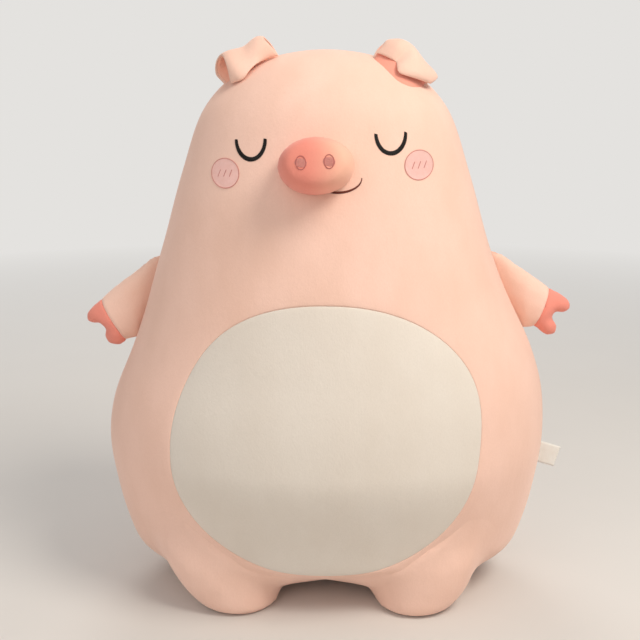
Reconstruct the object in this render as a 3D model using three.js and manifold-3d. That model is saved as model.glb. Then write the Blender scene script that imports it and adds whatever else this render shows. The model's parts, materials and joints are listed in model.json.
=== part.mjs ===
// Stuffed toy pig, a tall pillow plush that sits on its rounded bottom with two short legs in front.
// Millimetres, +Z up. The face and the belly look towards -Y, and the pig's own left is +X.
// Every cover is a thin shell of plush fabric, with a separate body of fibre filling inside it.

import * as THREE from 'three';
import { mergeVertices } from 'three/addons/utils/BufferGeometryUtils.js';
import Module from 'manifold-3d';

const wasm = await Module();
wasm.setup();

// Fabric and clearances
const fabric = 2;
const seamGap = 0.3;
const rootGap = 0.7;
const embroidery = 1;
const restingCut = 0.5;

// Body outline seen from the front: half widths of the body at heights above the surface
const bodyTop = 685;
const bodyHalfWidths = [
  [4, 122],
  [17, 200],
  [52, 242],
  [100, 265],
  [150, 275],
  [205, 281],
  [260, 275],
  [320, 254],
  [380, 229],
  [450, 204],
  [540, 177],
  [620, 146],
  [665, 94],
];

// Body depth in front of and behind the side seam, as shares of the half width at four heights
const depthLevels = [0, 70, 205, 540];
const frontDepthShares = [0.22, 0.58, 0.7, 0.78];
const backDepthShares = [0.6, 0.6, 0.61, 0.68];

// Faces of the body's mesh, and halvings of a range when a place on it is looked for
const bodySegments = 40;
const bellyRings = 4;
const frontRings = 5;
const backRings = 7;
const outlineDivisions = 800;
const halvings = 30;

// Belly panel
const bellyLevel = 232;
const bellyHalfWidth = 182;
const bellyHalfHeight = 170;
const bellySquareness = 2.2;

// Closing seam on the back
const closingLevel = 265;
const closingLength = 120;
const closingWidth = 3;

// Face, which sits slightly askew, with its eyes and cheeks a little to the pig's right
const faceLevel = 556;
const faceShift = -3;
const faceTilt = THREE.MathUtils.degToRad(2.5);
const eyeSpacing = 158;
const eyeRise = 30;
const eyeWidth = 34;
const eyeDepth = 22;
const eyeStroke = 4;
const threadTip = 0.4;
const arcSteps = 14;
const cheekSpacing = 221;
const cheekDrop = 7;
const cheekWidth = 35;
const cheekHeight = 34;
const cheekBorder = 1.6;
const cheekStrokeLength = 8;
const cheekStrokeWidth = 1.6;
const cheekStrokePitch = 7;
const cheekStrokeSlant = 3;
const mouthShift = 3;
const mouthWidth = 76;
const mouthDip = 16;
const mouthDrop = 14;
const mouthStroke = 3;

// Snout, with its rounding given as shares of its half width at shares of its reach
const snoutShift = -8;
const snoutDrop = 3;
const snoutWidth = 86;
const snoutHeight = 63;
const snoutReach = 54;
const snoutRoot = 26;
const snoutRounding = [[1, 0], [0.99, 0.35], [0.94, 0.62], [0.85, 0.82], [0.72, 0.94], [0.45, 0.99]];
const snoutPitch = THREE.MathUtils.degToRad(10);
const snoutSides = 20;
const nostrilSpacing = 30;
const nostrilWidth = 12;
const nostrilHeight = 16;

// Ears, sewn across the top of the head in front of the side seam and folded forwards
const earPlace = 89;
const earForward = 26;
const earSheet = 1.2;
const earBaseLength = 64;
const earWidth = 70;
const earTipWidth = 56;
const earAxisHeight = 3.2;
const earRootDepth = 14;
const earWidestFold = 0.55;
const earFolds = 8;
const earStrips = 6;
const rightEar = { height: 20, reach: 38, tipRise: -3 };
const leftEar = { height: 17, reach: 34, tipRise: 5 };

// Arms, sewn into the side seam. The root's rings are given as shares of its radius. The other rings are given
// as shares of the arm's reach, of its drop, of the seam's length or the cuff's, and of the thickness
const armRootRings = [[-0.96, 0.28], [-0.7, 0.7], [0, 1]];
const armSleeveRings = [[0.22, 0.2, 0.93, 0.4], [0.52, 0.5, 0.76, 0.8]];
const armHoofRings = [[1, 1, 1, 1], [1.28, 1.22, 0.86, 0.82], [1.42, 1.34, 0.6, 0.5]];
const armRingSides = 12;
const armRootRadius = 2.7;
const armAxisClearance = 0.5;
const armSeamAllowance = 4;
const armThickness = 33;
const cuffWidth = 57;
const hoofLobeLength = 23;
const hoofLobeWidth = 27;
const hoofLobeThickness = 26;
const hoofLobeSpacing = 25;
const hoofLobeSides = 8;
const hoofLobeRows = 6;
const hoofSpread = THREE.MathUtils.degToRad(12);
const hoofTurn = THREE.MathUtils.degToRad(7);
const leftArm = { top: 438, bottom: 335, reach: 34, drop: 35, droop: THREE.MathUtils.degToRad(41), hoof: 36 };
const rightArm = { top: 432, bottom: 330, reach: 28, drop: 43, droop: THREE.MathUtils.degToRad(51), hoof: 32 };

// Legs, with their rounding given as shares of the half width at shares of the height
const leftLeg = { place: 113, width: 122, lean: 0.28 };
const rightLeg = { place: 106, width: 124, lean: 0.5 };
const legForward = 81;
const legDepth = 126;
const legHeight = 112;
const legRounding = [[0.86, 0.05], [0.95, 0.16], [1, 0.34], [1, 0.6], [0.86, 0.85], [0.55, 0.96]];
const legSides = 16;
const soleWidth = 84;
const soleDepth = 88;
const soleSides = 28;
const soleThickness = 2.5;
const soleRim = 4;
const legLift = 0.3;

// Tail, a short curl low on the back, which starts at a round root
const tailLevel = 165;
const tailThickness = 13;
const tailCurl = 30;
const tailRise = 16;
const tailTurns = 1.15;
const tailStem = 10;
const tailTaper = 0.25;
const tailAdvance = 13;
const tailOffset = 5;
const tailSides = 8;
const tailSteps = 14;

// Care label, a folded tape sewn into the side seam
const labelLevel = 173;
const labelLength = 27;
const labelWidth = 28;
const labelTape = 0.5;
const labelSlit = 0.4;
const labelDroop = THREE.MathUtils.degToRad(16);

const fabricPink = new THREE.MeshStandardMaterial({ color: 0xf7cbb8, roughness: 0.95, metalness: 0 });
const fabricCream = new THREE.MeshStandardMaterial({ color: 0xf1e9df, roughness: 0.95, metalness: 0 });
const fabricCoral = new THREE.MeshStandardMaterial({ color: 0xf09a88, roughness: 0.95, metalness: 0 });
const fabricRose = new THREE.MeshStandardMaterial({ color: 0xf2b6b0, roughness: 0.9, metalness: 0 });
const threadDark = new THREE.MeshStandardMaterial({ color: 0x241a1a, roughness: 0.7, metalness: 0 });
const threadRose = new THREE.MeshStandardMaterial({ color: 0xcf6f70, roughness: 0.7, metalness: 0 });
const threadPink = new THREE.MeshStandardMaterial({ color: 0xe9b4a4, roughness: 0.7, metalness: 0 });
const fibreWhite = new THREE.MeshStandardMaterial({ color: 0xf7f6f2, roughness: 1, metalness: 0 });
const tapeWhite = new THREE.MeshStandardMaterial({ color: 0xf4f4f0, roughness: 0.8, metalness: 0 });

const pig = new THREE.Group();

// Meshes

function geometryOf(points, faces) {
  const geometry = new THREE.BufferGeometry();
  const positions = points.flatMap((p) => [p.x, p.y, p.z]);
  geometry.setAttribute('position', new THREE.Float32BufferAttribute(positions, 3));
  geometry.setIndex(faces.flat());
  return geometry;
}

function solidOf(geometry) {
  const bare = geometry.clone();
  bare.deleteAttribute('normal');
  bare.deleteAttribute('uv');
  const merged = mergeVertices(bare, 1e-3);
  const corners = merged.index.array;
  const kept = [];
  for (let i = 0; i < corners.length; i += 3) {
    const [a, b, c] = [corners[i], corners[i + 1], corners[i + 2]];
    if (a !== b && b !== c && c !== a) {
      kept.push(a, b, c);
    }
  }
  const vertProperties = new Float32Array(merged.attributes.position.array);
  return new wasm.Manifold(new wasm.Mesh({ numProp: 3, vertProperties, triVerts: new Uint32Array(kept) }));
}

function addPiece(name, solid, material, parent = pig) {
  const mesh = solid.getMesh();
  const geometry = new THREE.BufferGeometry();
  geometry.setAttribute('position', new THREE.BufferAttribute(mesh.vertProperties, 3));
  geometry.setIndex(new THREE.BufferAttribute(mesh.triVerts, 1));
  const piece = new THREE.Mesh(geometry, material);
  piece.name = name;
  parent.add(piece);
  return piece;
}

// A closed solid between two grids of points, the outer one given first. Rows run from 0 to rows, and
// columns either close into a ring or end in walls.
function slab(outer, inner, rows, columns, ring) {
  const points = [];
  const faces = [];
  const width = ring ? columns : columns + 1;
  const at = (layer, i, j) => layer * (rows + 1) * width + i * width + (ring ? j % columns : j);
  for (const grid of [outer, inner]) {
    for (let i = 0; i <= rows; i += 1) {
      for (let j = 0; j < width; j += 1) {
        points.push(grid(i / rows, j / columns));
      }
    }
  }
  const quad = (a, b, c, d) => faces.push([a, c, b], [a, d, c]);
  for (let i = 0; i < rows; i += 1) {
    for (let j = 0; j < columns; j += 1) {
      quad(at(0, i, j), at(0, i, j + 1), at(0, i + 1, j + 1), at(0, i + 1, j));
      quad(at(1, i, j), at(1, i + 1, j), at(1, i + 1, j + 1), at(1, i, j + 1));
    }
  }
  for (let j = 0; j < columns; j += 1) {
    quad(at(0, 0, j + 1), at(0, 0, j), at(1, 0, j), at(1, 0, j + 1));
    quad(at(0, rows, j), at(0, rows, j + 1), at(1, rows, j + 1), at(1, rows, j));
  }
  for (let i = 0; i < rows && !ring; i += 1) {
    quad(at(0, i, 0), at(0, i + 1, 0), at(1, i + 1, 0), at(1, i, 0));
    quad(at(0, i + 1, columns), at(0, i, columns), at(1, i, columns), at(1, i + 1, columns));
  }
  return solidOf(geometryOf(points, faces));
}

// A closed solid through rings of points, with a fan of faces over each end
function loft(rings) {
  const sides = rings[0].length;
  const points = rings.flat();
  const faces = [];
  for (let i = 0; i + 1 < rings.length; i += 1) {
    for (let j = 0; j < sides; j += 1) {
      const a = i * sides + j;
      const b = i * sides + ((j + 1) % sides);
      faces.push([a, b + sides, b], [a, a + sides, b + sides]);
    }
  }
  for (const [ring, start] of [[rings[0], 0], [rings[rings.length - 1], (rings.length - 1) * sides]]) {
    const centre = ring.reduce((sum, p) => sum.add(p), new THREE.Vector3()).divideScalar(sides);
    const middle = points.push(centre) - 1;
    for (let j = 0; j < sides; j += 1) {
      const a = start + j;
      const b = start + ((j + 1) % sides);
      faces.push(start === 0 ? [a, b, middle] : [b, a, middle]);
    }
  }
  return solidOf(geometryOf(points, faces));
}

// Body

function bodyOutline() {
  const side = bodyHalfWidths.map(([height, half]) => new THREE.Vector3(half, 0, height));
  const mirrored = side.map((p) => new THREE.Vector3(-p.x, 0, p.z)).reverse();
  const bottom = new THREE.Vector3(0, 0, -restingCut);
  const top = new THREE.Vector3(0, 0, bodyTop);
  const curve = new THREE.CatmullRomCurve3([bottom, ...side, top, ...mirrored], true, 'centripetal');
  curve.arcLengthDivisions = outlineDivisions;
  return curve;
}

const outline = bodyOutline();

function shareAt(levels, shares, height) {
  const above = levels.findIndex((level) => height < level);
  if (above === 0) {
    return shares[0];
  }
  if (above < 0) {
    return shares[shares.length - 1];
  }
  const part = (height - levels[above - 1]) / (levels[above] - levels[above - 1]);
  return THREE.MathUtils.lerp(shares[above - 1], shares[above], part);
}

// The value at which a test that holds from low upwards stops holding
function lastWhere(low, high, holds) {
  let from = low;
  let to = high;
  for (let step = 0; step < halvings; step += 1) {
    const middle = (from + to) / 2;
    if (holds(middle)) {
      from = middle;
    } else {
      to = middle;
    }
  }
  return from;
}

// The share of the outline's length, from the bottom, at which the side reaches a height
function outlineShare(height) {
  return lastWhere(0, 1, (share) => outline.getPointAt(share / 2).z < height);
}

const frontCentreShare = outlineShare(bellyLevel);

// A point of the body's surface, where turn goes round the belly's centre and spread goes from the belly's
// centre, 0, over the side seam, half of pi, to the middle of the back, pi. It lies deeper by inset.
function bodyPoint(turn, spread, inset) {
  const across = Math.sin(spread) * Math.cos(turn);
  const forward = -Math.cos(spread);
  const up = Math.sin(spread) * Math.sin(turn);
  const latitude = Math.asin(THREE.MathUtils.clamp(up, -1, 1)) / (Math.PI / 2);
  const share = 0.5 + latitude / 2 + (frontCentreShare - 0.5) * (1 - latitude * latitude);
  const place = outline.getPointAt(share / 2);
  const along = outline.getTangentAt(share / 2);
  const level = Math.hypot(across, forward);
  const cosine = level > 1e-6 ? across / level : 0;
  const sine = level > 1e-6 ? forward / level : 0;
  const shares = sine < 0 ? frontDepthShares : backDepthShares;
  const depth = place.x * shareAt(depthLevels, shares, place.z);
  return new THREE.Vector3(
    (place.x - inset * along.z) * cosine,
    (depth - inset * along.z) * sine,
    place.z + inset * along.x,
  );
}

// The spread at which a turn crosses the belly panel's edge
function bellySpread(turn, gap) {
  return lastWhere(0, Math.PI / 2, (spread) => {
    const p = bodyPoint(turn, spread, 0);
    const x = Math.abs(p.x) / (bellyHalfWidth + gap);
    const z = Math.abs(p.z - bellyLevel) / (bellyHalfHeight + gap);
    return x ** bellySquareness + z ** bellySquareness < 1;
  });
}

// A piece of the body's cover between two spreads and two turns
function bodyPanel(fromSpread, toSpread, rings, fromTurn, toTurn, segments, ring) {
  const grid = (inset) => (row, column) => {
    const turn = THREE.MathUtils.lerp(fromTurn, toTurn, column);
    return bodyPoint(turn, THREE.MathUtils.lerp(fromSpread(turn), toSpread(turn), row), inset);
  };
  return slab(grid(0), grid(fabric), rings, segments, ring);
}

function wholeBody(inset) {
  const rings = bellyRings + frontRings + backRings;
  const grid = [];
  for (let i = 1; i < rings; i += 1) {
    const ring = [];
    for (let j = 0; j < bodySegments; j += 1) {
      const turn = (2 * Math.PI * j) / bodySegments;
      const belly = bellySpread(turn, 0);
      let spread = (belly * i) / bellyRings;
      if (i > bellyRings) {
        spread = THREE.MathUtils.lerp(belly, Math.PI / 2, (i - bellyRings) / frontRings);
      }
      if (i > bellyRings + frontRings) {
        spread = (Math.PI / 2) * (1 + (i - bellyRings - frontRings) / backRings);
      }
      ring.push(bodyPoint(turn, spread, inset));
    }
    grid.push(ring);
  }
  const faces = [];
  const points = grid.flat();
  for (let i = 0; i + 1 < grid.length; i += 1) {
    for (let j = 0; j < bodySegments; j += 1) {
      const a = i * bodySegments + j;
      const b = i * bodySegments + ((j + 1) % bodySegments);
      faces.push([a, b + bodySegments, b], [a, a + bodySegments, b + bodySegments]);
    }
  }
  const front = points.push(bodyPoint(0, 0, inset)) - 1;
  const back = points.push(bodyPoint(0, Math.PI, inset)) - 1;
  const last = (grid.length - 1) * bodySegments;
  for (let j = 0; j < bodySegments; j += 1) {
    const next = (j + 1) % bodySegments;
    faces.push([j, next, front], [last + next, last + j, back]);
  }
  return solidOf(geometryOf(points, faces));
}

function box(size, centre) {
  return solidOf(new THREE.BoxGeometry(...size).translate(...centre));
}

const span = 4 * bodyTop;
const underfloor = box([span, span, span], [0, 0, -span / 2]);

function addBody() {
  const gap = seamGap / 2;
  const centre = () => 0;
  const seam = () => Math.PI / 2;
  const back = () => Math.PI;
  const whole = 2 * Math.PI;
  const inside = (turn) => bellySpread(turn, -gap);
  const outside = (turn) => bellySpread(turn, gap);
  const belly = bodyPanel(centre, inside, bellyRings, 0, whole, bodySegments, true);
  const front = bodyPanel(outside, seam, frontRings, 0, whole, bodySegments, true);
  const half = bodySegments / 2;
  const right = bodyPanel(seam, back, backRings, Math.PI / 2, 1.5 * Math.PI, half, false);
  const left = bodyPanel(seam, back, backRings, -Math.PI / 2, Math.PI / 2, half, false);
  addPiece('belly_panel', belly.translate([0, -gap, 0]), fabricCream);
  addPiece('body_front_panel', front.translate([0, -gap, 0]).subtract(underfloor), fabricPink);
  addPiece('body_back_right_panel', right.translate([-gap, gap, 0]).subtract(underfloor), fabricPink);
  addPiece('body_back_left_panel', left.translate([gap, gap, 0]).subtract(underfloor), fabricPink);
  addPiece('body_filling', wholeBody(fabric + seamGap), fibreWhite);
}

const bodyKeepOut = wholeBody(-seamGap);
const rootKeepOut = wholeBody(-rootGap);

// Embroidery and patches

// A flat shape drawn in the front view, pushed back through the surface of a form
function prism(shape) {
  const depth = span / 4;
  const geometry = new THREE.ExtrudeGeometry(shape, { depth, bevelEnabled: false });
  return solidOf(geometry.rotateX(Math.PI / 2));
}

function outlineShape(points) {
  return new THREE.Shape(points.map(([x, y]) => new THREE.Vector2(x, y)));
}

function ellipseShape(width, height) {
  const shape = new THREE.Shape();
  shape.absellipse(0, 0, width / 2, height / 2, 0, 2 * Math.PI);
  return shape;
}

// A drawn line of even width along points, pointed or square at its ends
function strokeShape(points, width, tip = 1) {
  const edge = (side) => points.map((p, i) => {
    const before = points[Math.max(i - 1, 0)];
    const after = points[Math.min(i + 1, points.length - 1)];
    const length = Math.hypot(after[0] - before[0], after[1] - before[1]);
    const end = Math.min(i, points.length - 1 - i) === 0 ? tip : 1;
    const offset = (side * end * width) / 2 / length;
    return [p[0] + offset * (before[1] - after[1]), p[1] + offset * (after[0] - before[0])];
  });
  return outlineShape([...edge(1), ...edge(-1).reverse()]);
}

// Points along the lower half of an oval
function arcPoints(width, dip) {
  const points = [];
  for (let i = 0; i <= arcSteps; i += 1) {
    const angle = Math.PI * (1 + i / arcSteps);
    points.push([(width / 2) * Math.cos(angle), dip * Math.sin(angle)]);
  }
  return points;
}

// The layer of the body's surface between two heights above the fabric
function bodyLayer(low, high) {
  return wholeBody(-high).subtract(wholeBody(-low));
}

const stitchLayer = bodyLayer(seamGap, seamGap + embroidery);
const upperLayer = bodyLayer(2 * seamGap + embroidery, 2 * seamGap + 2 * embroidery);

// Turns a shape of the face by the face's tilt, about the face's middle
function placeOnFace(solid, x, z) {
  const tilt = -THREE.MathUtils.radToDeg(faceTilt);
  return solid.translate([x, 0, z]).rotate([0, tilt, 0]).translate([0, 0, faceLevel]);
}

function addFace(snoutKeepOut) {
  for (const [name, side] of [['left', 1], ['right', -1]]) {
    const eye = prism(strokeShape(arcPoints(eyeWidth, eyeDepth), eyeStroke, threadTip));
    const eyeSolid = placeOnFace(eye, faceShift + (side * eyeSpacing) / 2, eyeRise);
    addPiece(`${name}_eye_stitches`, eyeSolid.intersect(stitchLayer), threadDark);
    const x = faceShift + (side * cheekSpacing) / 2;
    const inner = 2 * cheekBorder;
    const clear = inner - 2 * seamGap;
    const patch = prism(ellipseShape(cheekWidth - inner, cheekHeight - inner));
    const keepOut = prism(ellipseShape(cheekWidth - clear, cheekHeight - clear));
    const border = prism(ellipseShape(cheekWidth, cheekHeight)).subtract(keepOut);
    addPiece(`${name}_cheek_patch`, placeOnFace(patch, x, -cheekDrop).intersect(stitchLayer), fabricRose);
    addPiece(`${name}_cheek_border`, placeOnFace(border, x, -cheekDrop).intersect(stitchLayer), threadRose);
    const halfLength = cheekStrokeLength / 2;
    const line = [[-cheekStrokeSlant / 2, -halfLength], [cheekStrokeSlant / 2, halfLength]];
    for (let i = 0; i < 3; i += 1) {
      const stroke = prism(strokeShape(line, cheekStrokeWidth));
      const placed = placeOnFace(stroke, x + (i - 1) * cheekStrokePitch, -cheekDrop);
      addPiece(`${name}_cheek_stroke_${i + 1}`, placed.intersect(upperLayer), threadRose);
    }
  }
  const mouth = prism(strokeShape(arcPoints(mouthWidth, mouthDip), mouthStroke, threadTip));
  const mouthSolid = placeOnFace(mouth, mouthShift, -snoutDrop - mouthDrop).intersect(stitchLayer);
  addPiece('mouth_stitches', mouthSolid.subtract(snoutKeepOut), threadDark);
}

function addClosingSeam() {
  const half = closingLength / 2;
  const strip = prism(strokeShape([[0, -half], [0, half]], closingWidth));
  const placed = strip.translate([0, span / 4, closingLevel]).intersect(stitchLayer);
  addPiece('closing_stitches', placed, threadPink);
}

// Snout

// The depth of the face's surface in front of the side seam, at the snout's height
function depthOfFace() {
  const above = lastWhere(-Math.PI / 2, Math.PI / 2, (spread) => (
    bodyPoint(Math.PI / 2, spread, 0).z < faceLevel - snoutDrop
  ));
  return -bodyPoint(Math.PI / 2, above, 0).y;
}

// The snout's outer form along its own axis, with the face's surface at z = 0
function snoutForm(inset) {
  const tip = snoutReach - inset;
  const rounding = snoutRounding.map(([share, reach]) => [share, reach * tip]);
  const profile = [[0, -snoutRoot], [1, -snoutRoot], ...rounding, [0, tip]];
  const points = profile.map(([share, z]) => new THREE.Vector2(share, z));
  const geometry = new THREE.LatheGeometry(points, snoutSides);
  geometry.rotateX(Math.PI / 2);
  geometry.scale(snoutWidth / 2 - inset, snoutHeight / 2 - inset, 1);
  return solidOf(geometry);
}

function placeSnout(solid) {
  const pitch = 90 - THREE.MathUtils.radToDeg(snoutPitch);
  const tilt = -THREE.MathUtils.radToDeg(faceTilt);
  const turned = solid.rotate([pitch, 0, 0]).rotate([0, tilt, 0]);
  return turned.translate([snoutShift, -depthOfFace(), faceLevel - snoutDrop]);
}

function addSnout() {
  const shell = snoutForm(0).subtract(snoutForm(fabric));
  addPiece('snout_cover', placeSnout(shell).subtract(bodyKeepOut), fabricCoral);
  addPiece('snout_filling', placeSnout(snoutForm(fabric + seamGap)).subtract(bodyKeepOut), fibreWhite);
  const layer = snoutForm(-seamGap - embroidery).subtract(snoutForm(-seamGap));
  for (const [name, side] of [['left', 1], ['right', -1]]) {
    const shape = ellipseShape(nostrilWidth, nostrilHeight);
    const nostril = new THREE.ExtrudeGeometry(shape, { depth: 2 * snoutReach, bevelEnabled: false });
    nostril.translate((side * nostrilSpacing) / 2, 0, 0);
    addPiece(`${name}_nostril`, placeSnout(solidOf(nostril).intersect(layer)), threadRose);
  }
}

// Where the side seam reaches a height: the place, the direction up along the seam and the way out
function seamFrame(height) {
  const share = outlineShare(height) / 2;
  const place = outline.getPointAt(share);
  const up = outline.getTangentAt(share);
  return { place, up, out: new THREE.Vector3(up.z, 0, -up.x) };
}

// Ears

// A point of a folded ear. The fold goes from the base, 0, up and over to the tip, 1, and side goes from -1
// at the inner edge to 1 at the outer edge. Heights are above the hinge line.
function earPoint(ear, fold, side, offset) {
  const angle = Math.PI * fold;
  const rise = ear.height * Math.sin(angle) + ear.tipRise * fold * fold;
  const forward = (ear.reach * (1 - Math.cos(angle))) / 2;
  const riseSlope = ear.height * Math.PI * Math.cos(angle) + 2 * ear.tipRise * fold;
  const forwardSlope = (ear.reach * Math.PI * Math.sin(angle)) / 2;
  const length = Math.hypot(riseSlope, forwardSlope);
  const opening = Math.sin((Math.min(fold / earWidestFold, 1) * Math.PI) / 2);
  const closing = Math.max((fold - earWidestFold) / (1 - earWidestFold), 0) ** 2;
  const width = earBaseLength + (earWidth - earBaseLength) * opening + (earTipWidth - earWidth) * closing;
  return new THREE.Vector3(
    (side * width) / 2,
    -forward + (offset * riseSlope) / length,
    rise + (offset * forwardSlope) / length,
  );
}

function earSheetSolid(ear, low, high) {
  const grid = (offset) => (row, column) => {
    const step = Math.round(row * (earFolds + 1)) - 1;
    const point = earPoint(ear, Math.max(step, 0) / earFolds, 2 * column - 1, offset);
    point.z -= step < 0 ? earRootDepth : 0;
    return point;
  };
  return slab(grid(high), grid(low), earFolds + 1, earStrips, false);
}

// The place on top of the head where an ear is sewn, the way out of the fabric and the way along the base
function earSeat() {
  const half = Math.hypot(earPlace, earForward / shareAt(depthLevels, frontDepthShares, bodyTop));
  const widest = outlineShare(bodyHalfWidths[bodyHalfWidths.length - 2][0]);
  const share = lastWhere(widest, 1, (middle) => outline.getPointAt(middle / 2).x > half) / 2;
  const height = outline.getPointAt(share).z;
  const along = outline.getTangentAt(share);
  const depthShare = shareAt(depthLevels, frontDepthShares, height);
  const slope = -along.x / along.z;
  const out = new THREE.Vector3(earPlace / half, -earForward / half / depthShare ** 2, slope).normalize();
  const base = new THREE.Vector3(out.z, 0, -out.x).normalize();
  return { place: new THREE.Vector3(earPlace, -earForward, height), out, base };
}

function addEar(name, side, ear) {
  const { place, out, base } = earSeat();
  const back = new THREE.Vector3().crossVectors(out, base);
  const axis = place.clone().addScaledVector(out, earAxisHeight);
  const seat = new THREE.Matrix4().makeBasis(base, back, out).setPosition(axis);
  const put = (solid) => {
    const seated = solid.transform(seat.elements);
    return (side > 0 ? seated : seated.mirror([1, 0, 0])).subtract(rootKeepOut);
  };
  const half = seamGap / 2;
  addPiece(`${name}_ear_outer`, put(earSheetSolid(ear, half, half + earSheet)), fabricPink);
  addPiece(`${name}_ear_lining`, put(earSheetSolid(ear, -half - earSheet, -half)), fabricCoral);
}

// Arms

// A flattened ring of an arm, centred at a reach from the hinge line and a height along it
function armRing(reach, height, lean, halfWidth, halfThickness) {
  const ring = [];
  for (let i = 0; i < armRingSides; i += 1) {
    const angle = (2 * Math.PI * i) / armRingSides;
    const along = halfWidth * Math.cos(angle);
    ring.push(new THREE.Vector3(
      reach + along * Math.sin(lean),
      halfThickness * Math.sin(angle),
      height + along * Math.cos(lean),
    ));
  }
  return ring;
}

function hoofLobe(arm, side, inset) {
  const geometry = new THREE.SphereGeometry(1, hoofLobeSides, hoofLobeRows);
  geometry.scale(hoofLobeLength - inset, hoofLobeThickness / 2 - inset, hoofLobeWidth / 2 - inset);
  geometry.translate(arm.hoof - hoofLobeLength, 0, 0);
  geometry.rotateY(arm.droop + hoofTurn - side * hoofSpread);
  const spread = (side * hoofLobeSpacing) / 2;
  geometry.translate(arm.reach + spread * Math.sin(arm.droop), 0, -arm.drop + spread * Math.cos(arm.droop));
  return solidOf(geometry);
}

// The whole arm in its hinge's own frame: x out from the seam, y back and z up along the hinge
function armForm(arm, inset) {
  const root = (arm.top - arm.bottom) / 2;
  const sized = (rings, half) => rings.map(([reach, drop, width, thickness]) => [
    arm.reach * reach,
    arm.drop * drop,
    width * half,
    (thickness * armThickness) / 2,
  ]);
  const rings = [
    ...armRootRings.map(([reach, thick]) => [reach * armRootRadius, 0, root, thick * armRootRadius]),
    ...sized(armSleeveRings, root),
    ...sized(armHoofRings, cuffWidth / 2),
  ].map(([reach, drop, half, thick], i, all) => armRing(
    reach - (i === all.length - 1 ? inset : 0),
    -drop,
    arm.droop * Math.min(drop / arm.drop, 1),
    half - inset,
    Math.max(thick - inset, seamGap),
  ));
  const form = loft(rings).add(hoofLobe(arm, 1, inset)).add(hoofLobe(arm, -1, inset));
  if (inset === 0) {
    return form;
  }
  return form.subtract(box([span, span, span], [armSeamAllowance + inset - span / 2, 0, 0]));
}

// All that lies on one side of the cuff's seam, 1 for the hoof's side and -1 for the sleeve's
function besideCuff(arm, side) {
  return box([span, span, span], [(side * (span + seamGap)) / 2, 0, 0])
    .rotate([0, THREE.MathUtils.radToDeg(arm.droop), 0])
    .translate([arm.reach, 0, -arm.drop]);
}

function addArm(name, side, arm) {
  const top = seamFrame(arm.top).place;
  const bottom = seamFrame(arm.bottom).place;
  const up = top.clone().sub(bottom).normalize();
  const out = new THREE.Vector3(up.z, 0, -up.x);
  const turn = -THREE.MathUtils.radToDeg(Math.asin(-up.x));
  const place = top.clone().add(bottom).multiplyScalar(0.5);
  place.addScaledVector(out, armRootRadius + seamGap + armAxisClearance);
  const put = (solid) => {
    const seated = solid.rotate([0, turn, 0]).translate([place.x, 0, place.z]);
    return side > 0 ? seated : seated.mirror([1, 0, 0]);
  };
  const shell = armForm(arm, 0).subtract(armForm(arm, fabric));
  addPiece(`${name}_arm_sleeve`, put(shell.intersect(besideCuff(arm, -1))), fabricPink);
  addPiece(`${name}_arm_hoof`, put(shell.intersect(besideCuff(arm, 1))), fabricCoral);
  addPiece(`${name}_arm_filling`, put(armForm(arm, fabric + seamGap)), fibreWhite);
}

// Legs

function legForm(leg, inset) {
  const bottom = (soleWidth + 2 * soleRim) / leg.width;
  const profile = [[0, 0], [bottom, 0], ...legRounding, [0, 1]];
  const points = profile.map(([share, height]) => new THREE.Vector2(share, height));
  const geometry = new THREE.LatheGeometry(points, legSides);
  geometry.rotateX(Math.PI / 2);
  geometry.scale(leg.width / 2 - inset, legDepth / 2 - inset, legHeight - 2 * inset);
  geometry.translate(0, 0, inset);
  return lean(solidOf(geometry), leg.lean);
}

// Leans a leg outwards as it rises, towards the body's side
function lean(solid, slope) {
  return solid.warp((v) => {
    v[0] += slope * v[2];
  });
}

function sole(grow) {
  const geometry = new THREE.CylinderGeometry(1, 1, soleThickness + 2 * grow, soleSides);
  geometry.rotateX(Math.PI / 2);
  geometry.scale(soleWidth / 2 + grow, soleDepth / 2 + grow, 1);
  geometry.translate(0, 0, soleThickness / 2);
  return solidOf(geometry);
}

function addLeg(name, side, leg) {
  const put = (solid) => {
    const seated = solid.translate([leg.place, -legForward, 0]);
    return side > 0 ? seated : seated.mirror([1, 0, 0]);
  };
  const shell = legForm(leg, 0).subtract(legForm(leg, fabric));
  const filling = legForm(leg, fabric + seamGap);
  const clear = (solid) => {
    const lifted = solid.translate([0, 0, legLift]).subtract(sole(seamGap));
    return put(lifted).subtract(bodyKeepOut);
  };
  addPiece(`${name}_leg_cover`, clear(shell), fabricPink);
  addPiece(`${name}_leg_filling`, clear(filling), fibreWhite);
  addPiece(`${name}_leg_sole`, put(sole(0)), fabricPink);
}

// Tail

function addTail() {
  const radius = tailThickness / 2;
  const points = [new THREE.Vector3(0, 0, 0), new THREE.Vector3(0, tailStem / 2, 0)];
  for (let i = 0; i <= tailSteps; i += 1) {
    const share = i / tailSteps;
    const angle = 2 * Math.PI * tailTurns * share;
    const turn = (tailCurl / 2) * (1 - tailTaper * share);
    points.push(new THREE.Vector3(
      turn * (1 - Math.cos(angle)) - tailOffset,
      tailStem + tailAdvance * share,
      turn * Math.sin(angle) + tailRise * share,
    ));
  }
  const curve = new THREE.CatmullRomCurve3(points, false, 'centripetal');
  const section = outlineShape([...Array(tailSides).keys()].map((i) => {
    const angle = (2 * Math.PI * i) / tailSides;
    return [radius * Math.cos(angle), radius * Math.sin(angle)];
  }));
  const tube = new THREE.ExtrudeGeometry(section, { steps: 2 * tailSteps, extrudePath: curve });
  const root = new THREE.SphereGeometry(radius, tailSides, tailSides);
  const tail = solidOf(tube).add(solidOf(root));
  addPiece('tail', tail.translate([0, bodyBackAt(tailLevel) + radius + rootGap, tailLevel]), fabricPink);
}

function bodyBackAt(height) {
  const half = outline.getPointAt(outlineShare(height) / 2).x;
  return half * shareAt(depthLevels, backDepthShares, height);
}

// Care label

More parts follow.
